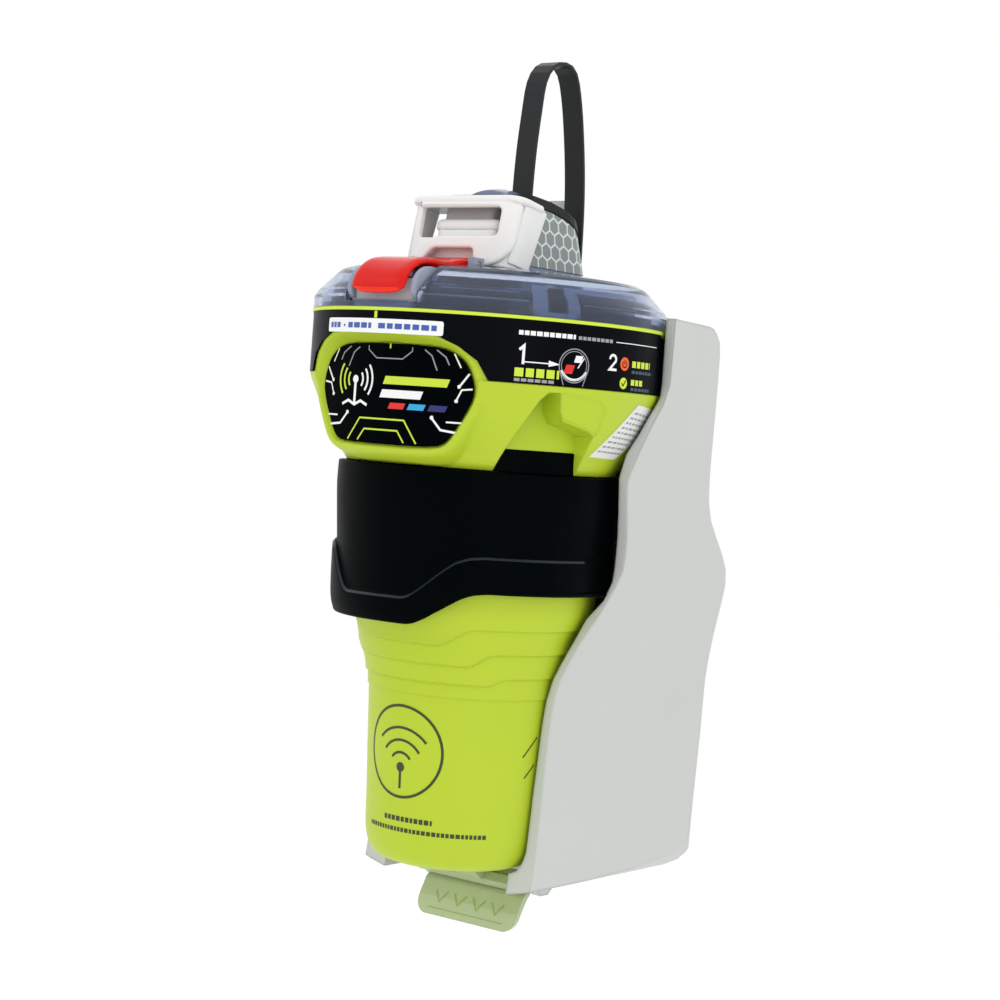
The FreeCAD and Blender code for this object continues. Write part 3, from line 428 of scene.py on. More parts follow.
def flat_plate(outlines, half, bevel, cuts=()):
    """Plate with holes and rounded rims: points (a, b, depth) and faces; cuts are lines where it will bend."""
    curve = bpy.data.curves.new("Flat", "CURVE")
    curve.dimensions = "2D"
    curve.fill_mode = "BOTH"
    curve.extrude = half - bevel
    curve.bevel_depth = bevel
    curve.bevel_resolution = 3
    curve.offset = -bevel
    for outline in outlines:
        spline = curve.splines.new("POLY")
        spline.points.add(len(outline) - 1)
        for point, (a, b) in zip(spline.points, outline):
            point.co = (a, b, 0, 1)
        spline.use_cyclic_u = True
    flat = added("Flat", curve)
    mesh = bpy.data.meshes.new_from_object(flat.evaluated_get(bpy.context.evaluated_depsgraph_get()))
    work = bmesh.new()
    work.from_mesh(mesh)
    bpy.data.objects.remove(flat)
    bpy.data.curves.remove(curve)
    bpy.data.meshes.remove(mesh)
    bmesh.ops.remove_doubles(work, verts=work.verts[:], dist=0.001)
    for a in cuts:
        bmesh.ops.bisect_plane(work, geom=work.verts[:] + work.edges[:] + work.faces[:], plane_co=(a, 0, 0),
                               plane_no=(1, 0, 0))
    work.verts.index_update()
    points = [tuple(v.co) for v in work.verts]
    faces = [tuple(v.index for v in f.verts) for f in work.faces]
    work.free()
    return points, faces


def plate(name, outlines, half, bevel, place, mat, slot=None, cuts=(), **look):
    """Flat plate on the beacon, put in its place by place(a, b, depth)."""
    points, faces = flat_plate(outlines, half, bevel, cuts)
    piece(name, [place(*p) for p in points], faces, mat, slot, **look)


# ---- lower housing
BODY = [(8, 27.7), (10, 28.0), (23, 28.5), (35, 29.1), (48, 29.7), (54.3, 30.2), (59, 31.0), (66.7, 33.4),
        (72.3, 35.0), (80, 38.5), (88, 39.6), (97, 40.2), (120, 40.2)]
RIBS = [([(0, 69.9), (22, 69.9), (26, 70.6), (38, 75.2), (42, 75.7), (180, 75.7)], 1.7),
        ([(0, 64.0), (38, 64.0), (41, 64.5), (49, 67.6), (52, 68.1), (180, 68.1)], 1.7),
        ([(0, 58.3), (50, 58.3), (53, 58.7), (58, 60.2), (61, 60.6), (180, 60.6)], 1.5),
        ([(0, 54.0), (180, 54.0)], 0.9)]
BODY_ROUNDING = 1.5
RIB_SWELL, RIB_SWELL_RUN = 0.30, 2.2  # bulge above each line, and how far it dies away over
RIB_HOLLOW, RIB_HOLLOW_RUN = 0.26, 2.0  # hollow below each line
BODY_BACK = 36.7
FOOT = [(15.0, 0.0), (19.2, 0.0), (21.4, 0.22), (23.6, 0.95), (25.2, 2.1), (26.4, 3.7), (27.2, 5.6), (27.7, 8.0)]
FOOT_FLAT = FOOT[0][0]
NOTCH_HALF_WIDTH, NOTCH_FRONT, NOTCH_REAR, NOTCH_DEPTH = 6.4, 4.2, 12.6, 3.4
NOTCH_LIP_REAR, NOTCH_LIP = 11.2, 1.0


def body_radius(theta, z):
    turn = np.abs(np.degrees(theta))
    r = smoothed(BODY, z, BODY_ROUNDING)
    for line, size in RIBS:
        d = z - lookup(line, turn)
        above = smoothstep(-0.22, 0.10, d)
        swell = RIB_SWELL * np.exp(-np.maximum(d, 0) / RIB_SWELL_RUN)
        hollow = RIB_HOLLOW * np.exp(np.minimum(d, 0) / RIB_HOLLOW_RUN)
        r = r + size * (swell * above - hollow * (1 - above))
    return r


def make_lower_housing():
    columns = 480
    theta = np.linspace(-math.pi, math.pi, columns, endpoint=False)
    heights = [*np.arange(9.0, 51.0, 1.5), *np.arange(51.0, 79.0, 0.24), *np.arange(79.5, 101.0, 1.0)]
    points = []
    # Latch notch in the foot, with a lip at its rear, ringed out to the round foot.
    notch = ((NOTCH_DEPTH, NOTCH_REAR), (NOTCH_LIP, NOTCH_REAR), (NOTCH_LIP, NOTCH_LIP_REAR), (0.0, NOTCH_LIP_REAR))
    for depth, rear in notch:
        middle, half = (rear + NOTCH_FRONT) / 2, (rear - NOTCH_FRONT) / 2
        for t in theta:
            dx, dy = FOOT_FLAT * math.sin(t), -FOOT_FLAT * math.cos(t) - middle
            reach = max(abs(dx) / NOTCH_HALF_WIDTH, abs(dy) / half)
            points.append((dx / reach, middle + dy / reach, depth))
    for r, z in FOOT:
        points += around(theta, r, z)
    for z in heights:
        points += around(theta, body_radius(theta, z), z, BODY_BACK)
    points += around(theta, 0.02, 101.0)
    faces = grid_faces(len(points) // columns, columns, caps=True)
    piece("Lower_housing_ribbed", points, faces, GREEN, "shell_green", replaced=("lower_housing",))


make_lower_housing()


# ---- grip band
BAND_LOW = [(0, 76.0), (11, 76.0), (14, 76.4), (18.5, 77.9), (26, 81.4), (33.5, 84.9), (38, 86.3), (44, 86.9),
            (180, 87.0)]
BAND_RIDGE = [(0, 83.9), (10, 84.0), (13, 84.9), (17.5, 87.4), (25, 92.3), (30.6, 95.6), (36, 97.1), (42, 97.6),
              (180, 97.6)]
BAND_LOW_LEFT = [(0, 76.0), (60, 75.6), (63, 76.0), (67.5, 77.6), (75, 81.2), (82.5, 84.8), (87, 86.3), (93, 86.9),
                 (180, 87.0)]
BAND_RIDGE_LEFT = [(0, 83.9), (22, 83.6), (25.6, 84.6), (30, 87.6), (36, 92.6), (40.6, 95.8), (46, 97.2), (52, 97.6),
                   (180, 97.6)]
BAND_UPPER = [(80, 42.8), (90, 42.9), (97.5, 43.1), (110, 44.0), (116, 44.4), (121.5, 44.3), (124, 44.2)]
BAND_RAISED = [(75, 41.7), (77, 43.1), (79, 43.7), (82, 44.1), (88, 44.35), (94, 44.45), (99, 44.4)]


BAND_BACK = 37.95  # the skirt's flat back as well
BAND_EDGE = 1.1
BAND_TOP, BAND_LIP = 122.4, 0.55
BEVEL_BELOW, BEVEL_ABOVE = 0.9, 1.0  # how far the bevel reaches either side of the ridge line
PANEL_DEPTH = 0.12


def make_grip_band():
    columns = 540
    theta = np.linspace(-math.pi, math.pi, columns, endpoint=False)
    turn = np.abs(np.degrees(theta))
    low = np.where(theta < 0, smoothed(BAND_LOW_LEFT, turn, 2.0), smoothed(BAND_LOW, turn, 2.0))
    ridge = np.where(theta < 0, smoothed(BAND_RIDGE_LEFT, turn, 1.6), smoothed(BAND_RIDGE, turn, 1.6))
    step = 1.0 - 0.75 * smoothstep(60, 95, turn)
    rows = []

    def upper(z):
        return smoothed(BAND_UPPER, z, 2.0)

    def chin(z):
        """The raised part, which fades into the band round the sides."""
        return smoothed(BAND_RAISED, z, 0.8) * step + (1 - step) * (upper(z) + 0.2)

    def ring(r, z):
        rows.append([np.broadcast_to(v, theta.shape) for v in (r, z)])

    ring(body_radius(theta, low + 1.0) + 0.15, low + 0.5)
    edge_r = smoothed(BAND_RAISED, low + 1.2, 0.8)
    for k in range(6):
        a = math.radians(90 * k / 5)
        ring(edge_r - BAND_EDGE * (1 - math.sin(a)), low + BAND_EDGE * (1 - math.cos(a)))
    for t in np.linspace(0.06, 1.0, 18):
        z = low + BAND_EDGE + (ridge - BEVEL_BELOW - low - BAND_EDGE) * t
        ring(chin(z), z)
    top_r, base_r = chin(ridge - BEVEL_BELOW), upper(ridge + BEVEL_ABOVE)
    first_bevel = len(rows)
    for k in range(1, 9):
        t = k / 8.0
        ring(top_r + (base_r - top_r) * smoothstep(0, 1, t) + 0.16 * math.sin(math.pi * t),
             ridge - BEVEL_BELOW + (BEVEL_BELOW + BEVEL_ABOVE) * t)
    for t in np.linspace(0.05, 1.0, 34):
        z = ridge + BEVEL_ABOVE + (122.0 - ridge - BEVEL_ABOVE) * t
        ring(upper(z), z)
    lip = upper(BAND_TOP)
    ring(lip, BAND_TOP)
    for k in range(1, 6):
        a = math.radians(90 * k / 5)
        ring(lip - BAND_LIP * (1 - math.cos(a)), BAND_TOP + 0.05 + BAND_LIP * math.sin(a))
    ring(41.6, 123.0)
    ring(41.2, 121.0)
    # Glossy strip along the ridge of the chin, lighter than the band: painted highlight on the bevel.
    front = turn < 88
    sheen = []
    for r, z in rows[first_bevel + 1:first_bevel + 5]:
        sheen += around(theta[front], r[front] + 0.05, z[front] + 0.04)
    piece("Chin_bevel_painted_highlight", sheen, grid_faces(4, len(sheen) // 4, closed=False), BEVEL_HIGHLIGHT, "band_black")
    # Shallow vertical panels let into the sides.
    side = smoothstep(73.0, 73.8, turn) * (1 - smoothstep(99, 99.8, turn))
    points = []
    for r, z in rows:
        panel = PANEL_DEPTH * side * smoothstep(89.0, 90.0, z) * (1 - smoothstep(112.0, 113.0, z))
        points += around(theta, r - panel, z, BAND_BACK)
    piece("Grip_band_moulded", points, grid_faces(len(rows), columns), BLACK, "band_black",
          replaced=("grip_band",), sharp=60)


make_grip_band()


# ---- upper housing, bezel and badge
BADGE_Y = -47.5
BADGE_R = 95.0
BADGE_OUTLINE = round_outline(mirrored([(0, 158.9), (10, 158.8), (20.0, 158.2), (26.0, 154.8), (28.8, 149.2),
                                        (29.4, 143.8), (23.9, 133.6), (20.9, 129.6), (16.0, 128.8), (8, 128.6),
                                        (0, 128.6)]))
WINDOW = [(41, 121), (55, 144.6), (57.3, 147.2), (61, 147.2), (62.4, 141.8), (64.5, 138.9), (75.6, 136.6),
          (79, 135.4), (79.5, 121)]
PANEL = [(61.8, 147.6), (77, 145.6), (80.4, 143.2), (80.4, 135.8), (75.6, 137.4), (64.9, 139.8), (63.2, 142.0)]
SKIRT = [(121, 41.6), (123.4, 42.1), (125, 43.2), (128, 44.7), (132.2, 47.4), (137.6, 50.3), (143, 52.6),
         (147.4, 54.5), (149, 55.0), (149.2, 55.0), (149.5, 54.4), (166.8, 54.4), (167.1, 55.0), (168, 55.0)]


def badge_radius(theta):
    c = np.cos(theta)
    return BADGE_Y * c + np.sqrt(np.maximum(BADGE_Y ** 2 * c * c + BADGE_R ** 2 - BADGE_Y ** 2, 0.0))


def smooth_max(a, b, k):
    h = np.clip(0.5 + 0.5 * (a - b) / k, 0, 1)
    return b + (a - b) * h + k * h * (1 - h)


NECK_R = 41.6
BEZEL_PROUD, BEZEL_FLAT, BEZEL_ROLL = 1.3, 1.5, 0.9
BADGE_SUNK, PANEL_SUNK = 0.9, 0.55
WINDOW_ARC_R = 49.0  # the openings' distances are measured round this radius
INNER_BACK = 36.0


def upper_radius(theta, z):
    turn = np.abs(np.degrees(theta))
    r = lookup(SKIRT, z)
    front = turn < 62
    flat = badge_radius(theta)
    d = outline_distance(BADGE_OUTLINE, flat * np.sin(theta), z)
    # Proud bezel that rolls off round the badge, strongest under it.
    roll = BEZEL_ROLL * np.maximum(d - BEZEL_FLAT, 0.0) ** 1.6
    proud = smooth_max(flat + BEZEL_PROUD - roll - 0.5 * smoothstep(0.9, 0.0, d), r, 0.5)
    share = smoothstep(62, 50, turn) * np.maximum(smoothstep(158.0, 150.0, z), smoothstep(9, 3, d))
    r = np.where(front, r + (proud - r) * share, r)
    wall = flat + 0.1 + 2.6 * np.maximum(d - 0.15, 0.0)
    r = np.where(front, np.minimum(r, wall), r)
    r = np.where(front & (d < 0.2), flat - BADGE_SUNK, r)
    # Openings in the skirt.
    near = (turn > 36) & (turn < 86)
    dw, dp = (outline_distance([(math.radians(a) * WINDOW_ARC_R, b) for a, b in shape],
                               np.radians(turn) * WINDOW_ARC_R, z) for shape in (WINDOW, PANEL))
    r = np.where(near, r - PANEL_SUNK * smoothstep(0.35, -0.25, dp), r)
    return np.where(near, r + (NECK_R - r) * smoothstep(0.12, -0.30, dw), r)


def make_upper_housing():
    degrees = np.array([*np.arange(-84, 84.01, 0.3), *np.arange(86, 276, 2.0)])
    theta = np.radians(degrees)
    theta = np.where(theta > math.pi, theta - 2 * math.pi, theta)
    heights = [*np.arange(123.4, 149.0, 0.32), 149.0, 149.2, 149.4,
               *np.arange(149.7, 166.6, 0.36), 166.9, 167.05, 167.7]
    points = around(theta, 40.4, 123.4, INNER_BACK)
    for z in heights:
        points += around(theta, upper_radius(theta, z), z, BAND_BACK)
    # Inner return of the wall, kept behind the badge.
    points += around(theta, 52.0, 167.7, INNER_BACK)
    behind = np.where(np.abs(theta) < math.radians(60), np.minimum(51.0, badge_radius(theta) - 2.6), 51.0)
    for z in (161.5, 150.0):
        points += around(theta, behind, z, INNER_BACK - 0.5)
    piece("Upper_housing_moulded", points, grid_faces(len(heights) + 4, len(theta)), GREEN, "shell_green",
          replaced=("upper_housing",), sharp=38)
    # Black collar seen through the openings.
    ring = np.linspace(-math.pi, math.pi, 240, endpoint=False)
    collar = []
    for r, z in ((40.6, 123.2), (41.95, 123.25), (41.95, 129.8), (41.7, 130.1), (40.5, 130.1)):
        collar += around(ring, r, z, INNER_BACK)
    piece("Neck_collar", collar, grid_faces(5, len(ring)), BLACK, "band_black")


make_upper_housing()


def stepped(path, step):
    """Points along a path, about one step apart, without the last."""
    fine = []
    for (x0, z0), (x1, z1) in zip(path, path[1:]):
        count = max(1, int(math.hypot(x1 - x0, z1 - z0) / step))
        fine += [(x0 + (x1 - x0) * k / count, z0 + (z1 - z0) * k / count) for k in range(count)]
    return fine


class Ink:
    """Printed artwork of one colour, gathered into one thin mesh that follows a surface."""

    def __init__(self, name, mat, mapper, body="beacon", slot=None, lift=0.06):
        self.name, self.mat, self.mapper, self.body, self.slot, self.lift = name, mat, mapper, body, slot, lift
        self.points, self.faces = [], []

    def add(self, flat, faces):
        base = len(self.points)
        self.points += [self.mapper(a, b, self.lift) for a, b in flat]
        self.faces += [tuple(base + i for i in f) for f in faces]

    def stroke(self, points, width, closed=False):
        """A line of this width."""
        fine = stepped(points + points[:1], 0.8) if closed else stepped(points, 0.8) + points[-1:]
        total = len(fine)
        flat = []
        for i in range(total):
            if closed:
                before, after = fine[i - 1], fine[(i + 1) % total]
            else:
                before, after = fine[max(i - 1, 0)], fine[min(i + 1, total - 1)]
            here = fine[i]
            d0 = Vector((here[0] - before[0], here[1] - before[1]))
            d1 = Vector((after[0] - here[0], after[1] - here[1]))
            d0 = d0.normalized() if d0.length > 1e-9 else d1.normalized()
            d1 = d1.normalized() if d1.length > 1e-9 else d0
            along = d0 + d1
            along = along.normalized() if along.length > 1e-6 else d1
            normal = Vector((-along.y, along.x))
            reach = width / 2 / max(0.35, abs(normal.dot(Vector((-d1.y, d1.x)))))
            flat.append((here[0] + normal.x * reach, here[1] + normal.y * reach))
            flat.append((here[0] - normal.x * reach, here[1] - normal.y * reach))
        faces = []
        for i in range(total if closed else total - 1):
            j = (i + 1) % total
            faces.append((2 * i, 2 * i + 1, 2 * j + 1, 2 * j))
        self.add(flat, faces)

    def fill(self, points, rings=4):
        """A filled star-shaped patch."""
        cx = sum(p[0] for p in points) / len(points)
        cz = sum(p[1] for p in points) / len(points)
        edge = stepped(points + points[:1], 1.0)
        n = len(edge)
        flat = [(cx, cz)]
        for k in range(1, rings + 1):
            flat += [(cx + (x - cx) * k / rings, cz + (z - cz) * k / rings) for x, z in edge]
        faces = [(0, 1 + i, 1 + (i + 1) % n) for i in range(n)]
        for k in range(rings - 1):
            for i in range(n):
                j = (i + 1) % n
                faces.append((1 + k * n + i, 1 + (k + 1) * n + i, 1 + (k + 1) * n + j, 1 + k * n + j))
        self.add(flat, faces)

    def bar(self, x0, x1, z0, z1, slant=0.0):
        self.fill([(x0, z0), (x1, z0), (x1 + slant, z1), (x0 + slant, z1)], 2)

    def dashes(self, x0, x1, z0, height, widths=(1.0, 2.6), gap=0.6, slant=0.0):
        """A row of plain bars in place of a line of print."""
        x = x0
        while x < x1 - 0.3:
            w = min(random.uniform(*widths), x1 - x)
            self.bar(x, x + w, z0, z0 + height, slant)
            x += w + gap

    def circle(self, cx, cz, r, width, a0=0, a1=360):
        steps = max(10, int(abs(a1 - a0) / 8))
        angles = [math.radians(a0 + (a1 - a0) * k / steps) for k in range(steps + 1)]
        arc = [(cx + r * math.cos(a), cz + r * math.sin(a)) for a in angles]
        whole = abs(a1 - a0) >= 360
        self.stroke(arc[:-1] if whole else arc, width, whole)

    def disc(self, cx, cz, r):
        self.fill([(cx + r * across, cz + r * upward) for across, upward in circle_steps(24)], 2)

    def done(self):
        return piece(self.name, self.points, self.faces, self.mat, self.slot, self.body, smooth=False)


def on_badge(x, z, lift):
    return (x, BADGE_Y + BADGE_R - math.sqrt((BADGE_R + lift) ** 2 - x * x), z)


LABEL_R = 55.2
BODY_ARC_R = 29.0


def on_ring(s, z, lift):
    """Arc length from the front, in mm on the ring."""
    return polar(LABEL_R + lift, s / LABEL_R, z)


def on_body(s, z, lift):
    return polar(float(smoothed(BODY, z, BODY_ROUNDING)) + lift, s / BODY_ARC_R, z)


SIDE_LINES = [("white", 0.45, [(24.5, 152.6), (22.2, 156.6)]),
              ("grey", 0.4, [(20.8, 153.2), (19.6, 155.4), (16.5, 157.4)]),
              ("grey", 0.4, [(17.0, 151.4), (15.0, 155.6), (12.5, 157.3)]),
              ("white", 0.6, [(24.6, 147.4), (27.2, 151.0)]),
              ("white", 0.5, [(23.8, 143.2), (25.2, 146.2), (28.4, 146.6)]),
              ("white", 0.65, [(16.4, 137.4), (19.4, 134.2), (25.0, 133.6)]),
              ("white", 0.5, [(21.0, 136.6), (26.2, 136.6)])]
SIDE_DOTS = [(24.3, 147.1, 0.55), (23.7, 142.9, 0.55), (16.3, 137.6, 0.6)]
MAST_X, MAST_TOP = -13.5, 147.6
TAGS = [("red", INK_RED, 0.5), ("sky", INK_SKY, 7.6), ("navy", INK_NAVY, 14.7)]
TAG_LENGTH = 5.7


def make_badge():
    panel = Ink("Badge_panel_black", BADGE, on_badge, slot="badge_black", lift=0.0)
    panel.fill([(x * 0.993, 143.75 + (z - 143.75) * 0.985) for x, z in BADGE_OUTLINE], 14)
    obj = panel.done()
    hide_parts("badge_panel")
    obj.data.polygons.foreach_set("use_smooth", [True] * len(obj.data.polygons))

    white = Ink("Badge_lines_white", INK_WHITE, on_badge)
    green = Ink("Badge_lines_green", INK_GREEN, on_badge)
    grey = Ink("Badge_lines_grey", INK_GREY, on_badge)
    for side in (-1, 1):
        for color, width, line in SIDE_LINES:
            (white if color == "white" else grey).stroke([(side * x, z) for x, z in line], width)
        for x, z, r in SIDE_DOTS:
            white.disc(side * x, z, r)
    grey.stroke([(-8.6, 157.8), (-8.6, 156.6), (-5.2, 154.2), (4.8, 154.2), (8.2, 156.6), (8.2, 157.8)], 0.35)
    green.stroke([(-15.4, 129.6), (-10.6, 136.2), (6.8, 136.2), (11.6, 129.6)], 0.5)
    green.stroke([(-11.0, 129.6), (-8.4, 133.0), (4.6, 133.0), (7.2, 129.6)], 0.5)
    green.bar(-0.3, 0.3, 157.2, 158.6)
    # Plain emblem: a mast with signal arcs over a wave, and three coloured tags.
    white.stroke([(MAST_X, 140.4), (MAST_X, 146.6)], 1.0)
    white.disc(MAST_X, MAST_TOP, 1.2)
    for r in (3.2, 5.2, 7.2):
        white.circle(MAST_X, MAST_TOP, r, 0.7, -38, 38)
        green.circle(MAST_X, MAST_TOP, r, 0.7, 142, 218)
    white.stroke([(-19.0, 140.0), (-16.2, 141.2), (-13.5, 140.0), (-10.8, 141.2), (-8.0, 140.0)], 0.8)
    green.bar(-2.0, 20.5, 146.6, 149.0, 0.9)
    white.bar(-3.0, 12.0, 142.6, 145.0, 0.9)
    for name, mat, x in TAGS:
        tag = Ink("Badge_tag_" + name, mat, on_badge)
        tag.bar(x, x + TAG_LENGTH, 139.4, 141.2, 0.8)
        tag.done()
    for art in (white, green, grey):
        art.done()


make_badge()


def make_label_art():
    white = Ink("Label_ink_white", INK_WHITE, on_ring)
    green = Ink("Label_ink_green", INK_GREEN, on_ring)
    grey = Ink("Label_ink_grey", INK_GREY, on_ring)
    teal = Ink("Label_ink_teal", INK_LINE, on_ring)
    plate = Ink("Label_plate_white", INK_WHITE, on_ring, lift=0.04)
    plate.fill(round_rect(-22.6, 22.6, 161.2, 165.4, 0.8), 16)
    plate.done()
    blue = Ink("Label_plate_blue", INK_BLUE, on_ring, lift=0.1)
    blue.dashes(-21.0, -15.5, 162.5, 1.6, (1.2, 2.0), 0.5)
    blue.disc(-13.3, 163.2, 0.4)
    blue.dashes(-11.4, -1.5, 162.5, 1.6, (2.0, 3.0), 0.6)
    blue.dashes(1.2, 20.6, 162.5, 1.6, (2.0, 3.0), 0.7)
    blue.done()
    green.bar(-0.55, 0.55, 165.6, 167.6)
    edge = Ink("Label_top_edge", LABEL, on_ring, lift=0.03)
    edge.stroke([(s, 167.3) for s in range(-104, 105, 2)], 1.1)
    edge.done()
    # Right of the badge: generic operating pictograms.
    white.dashes(44.5, 62.0, 163.3, 1.3, (1.3, 1.7), 0.35)
    grey.dashes(63.0, 76.0, 163.3, 1.0, (1.1, 1.5), 0.35)
    white.stroke([(77.0, 163.7), (100.0, 163.7)], 0.25)
    white.stroke([(45.0, 159.0), (46.3, 160.2), (46.3, 154.9)], 0.8)
    white.stroke([(46.5, 155.6), (54.5, 155.6)], 0.35)
    white.fill([(54.0, 154.7), (57.6, 155.6), (54.0, 156.5)], 1)
    green.dashes(44.0, 57.5, 151.3, 2.5, (2.4, 2.8), 0.7)
    grey.dashes(44.0, 56.0, 149.9, 0.9, (1.4, 2.0), 0.4)
    grey.circle(62.2, 155.6, 4.9, 0.3)
    grey.circle(62.2, 155.6, 4.2, 0.2)
    grey.stroke([(57.8, 153.4), (59.0, 149.8)], 0.25)
    grey.stroke([(66.6, 153.4), (65.4, 149.8)], 0.25)
    white.circle(62.2, 156.0, 4.5, 0.7, 205, 335)
    white.bar(62.0, 64.4, 156.6, 158.6, 0.6)
    white.stroke([(63.4, 155.0), (65.4, 158.0)], 0.35)
    red = Ink("Label_ink_red", INK_RED, on_ring)
    red.bar(58.8, 61.6, 153.2, 155.8, 0.8)
    red.done()
    white.circle(76.2, 158.6, 1.25, 0.75, -40, 180)
    white.stroke([(77.3, 158.1), (75.0, 155.6), (77.9, 155.6)], 0.75)
    orange = Ink("Label_ink_orange", INK_ORANGE, on_ring)
    orange.disc(81.4, 157.6, 2.0)
    orange.done()
    mark = Ink("Label_ink_mark", LABEL, on_ring, lift=0.12)
    mark.circle(81.4, 157.5, 0.95, 0.3, 130, 410)
    mark.stroke([(81.4, 157.4), (81.4, 158.9)], 0.3)
    green.dashes(85.0, 95.5, 156.8, 1.9, (1.7, 2.1), 0.6)
    teal.dashes(85.0, 97.0, 155.0, 0.9, (1.2, 1.8), 0.4)
    green.disc(81.4, 151.9, 1.7)
    mark.stroke([(80.5, 152.0), (81.2, 151.1), (82.4, 152.8)], 0.35)
    mark.done()
    green.dashes(85.0, 92.0, 151.5, 1.7, (1.6, 2.0), 0.5)
    teal.dashes(85.0, 96.0, 149.9, 0.9, (1.2, 1.8), 0.4)
    for art in (white, green, grey, teal):
        art.done()


make_label_art()


def make_body_art():
    dark = Ink("Body_ink_dark", INK_DARK, on_body, lift=0.07)
    # A plain ring with signal arcs, and rows of bars in place of print.
    dark.circle(0.0, 36.0, 14.0, 0.85)
    dark.circle(0.0, 31.5, 4.2, 0.8, 35, 145)
    dark.circle(0.0, 31.5, 8.0, 0.8, 35, 145)
    dark.circle(0.0, 31.5, 11.8, 0.8, 42, 138)
    dark.disc(0.0, 31.2, 1.5)
    dark.stroke([(0.0, 31.0), (0.0, 24.6)], 0.9)
    dark.dashes(-6.0, 12.0, 14.6, 1.5, (0.9, 1.5), 0.45)
    dark.dashes(-14.0, 30.0, 11.4, 1.3, (0.8, 1.4), 0.4)
    dark.stroke([(40.0, 36.5), (45.5, 42.5)], 0.5)
    dark.stroke([(41.5, 30.0), (45.5, 34.0)], 0.5)
    dark.done()


make_body_art()


CORNER_X, CORNER_Y, CORNER_R = 7.0, 17.0, 11.0
TAPE_ROUND = 80.0
HEXAGON = 4.7


def make_tape():
    """The tape's own layout: distance round the tower and height, in hexagon widths."""
    obj = NODES["reflective_tape"]
    mesh = obj.data
    layer = mesh.uv_layers.new(name="tape")
    for loop in mesh.loops:
        p = mesh.vertices[loop.vertex_index].co
        x, y, z = p.x * 1000.0, p.y * 1000.0 + WALL_Y, p.z * 1000.0 + CENTRE_Z
        run = y if y < CORNER_Y else CORNER_Y + CORNER_R * math.atan2(y - CORNER_Y, abs(x) - CORNER_X)
        s = run if x > 0 else -run - TAPE_ROUND
        layer.data[loop.index].uv = (s / HEXAGON, z / HEXAGON)


make_tape()

# ---- lanyard frame
LEAN = math.radians(9.9)
LEAN_Y, LEAN_Z = -20.5, 186.0
BEND_START = 14.8
BEND_R = 5.05
BEND_RUN = BEND_R * math.pi / 2
BEND_Y = -14.9
BEND_CUTS = [side * (BEND_START + BEND_RUN * k / 10) for k in range(11) for side in (1, -1)]


def leaned(x, y, z):
    """Turned backwards about the frame's lower front edge."""
    dy, dz = y - LEAN_Y, z - LEAN_Z
    return (x, LEAN_Y + dy * math.cos(LEAN) + dz * math.sin(LEAN), LEAN_Z - dy * math.sin(LEAN) + dz * math.cos(LEAN))


def on_frame(s, z, out):
    """Distance round the frame from its middle, height, and distance outwards from the middle of the wall."""
    side = 1 if s >= 0 else -1
    run = abs(s) - BEND_START
    if run <= 0:
        return leaned(s, BEND_Y - BEND_R - out, z)
    if run < BEND_RUN:
        a = run / BEND_R
        return leaned(side * (BEND_START + (BEND_R + out) * math.sin(a)), BEND_Y - (BEND_R + out) * math.cos(a), z)
    return leaned(side * (BEND_START + BEND_R + out), BEND_Y + run - BEND_RUN, z)


def wrapped(name, outlines, middle, half, bevel, **look):
    """White plate bent round the frame, this far outside the middle of its wall."""
    plate(name, outlines, half, bevel, lambda a, b, depth: on_frame(a, b, middle + depth), WHITE, "frame_white",
          BEND_CUTS, sharp=50, **look)


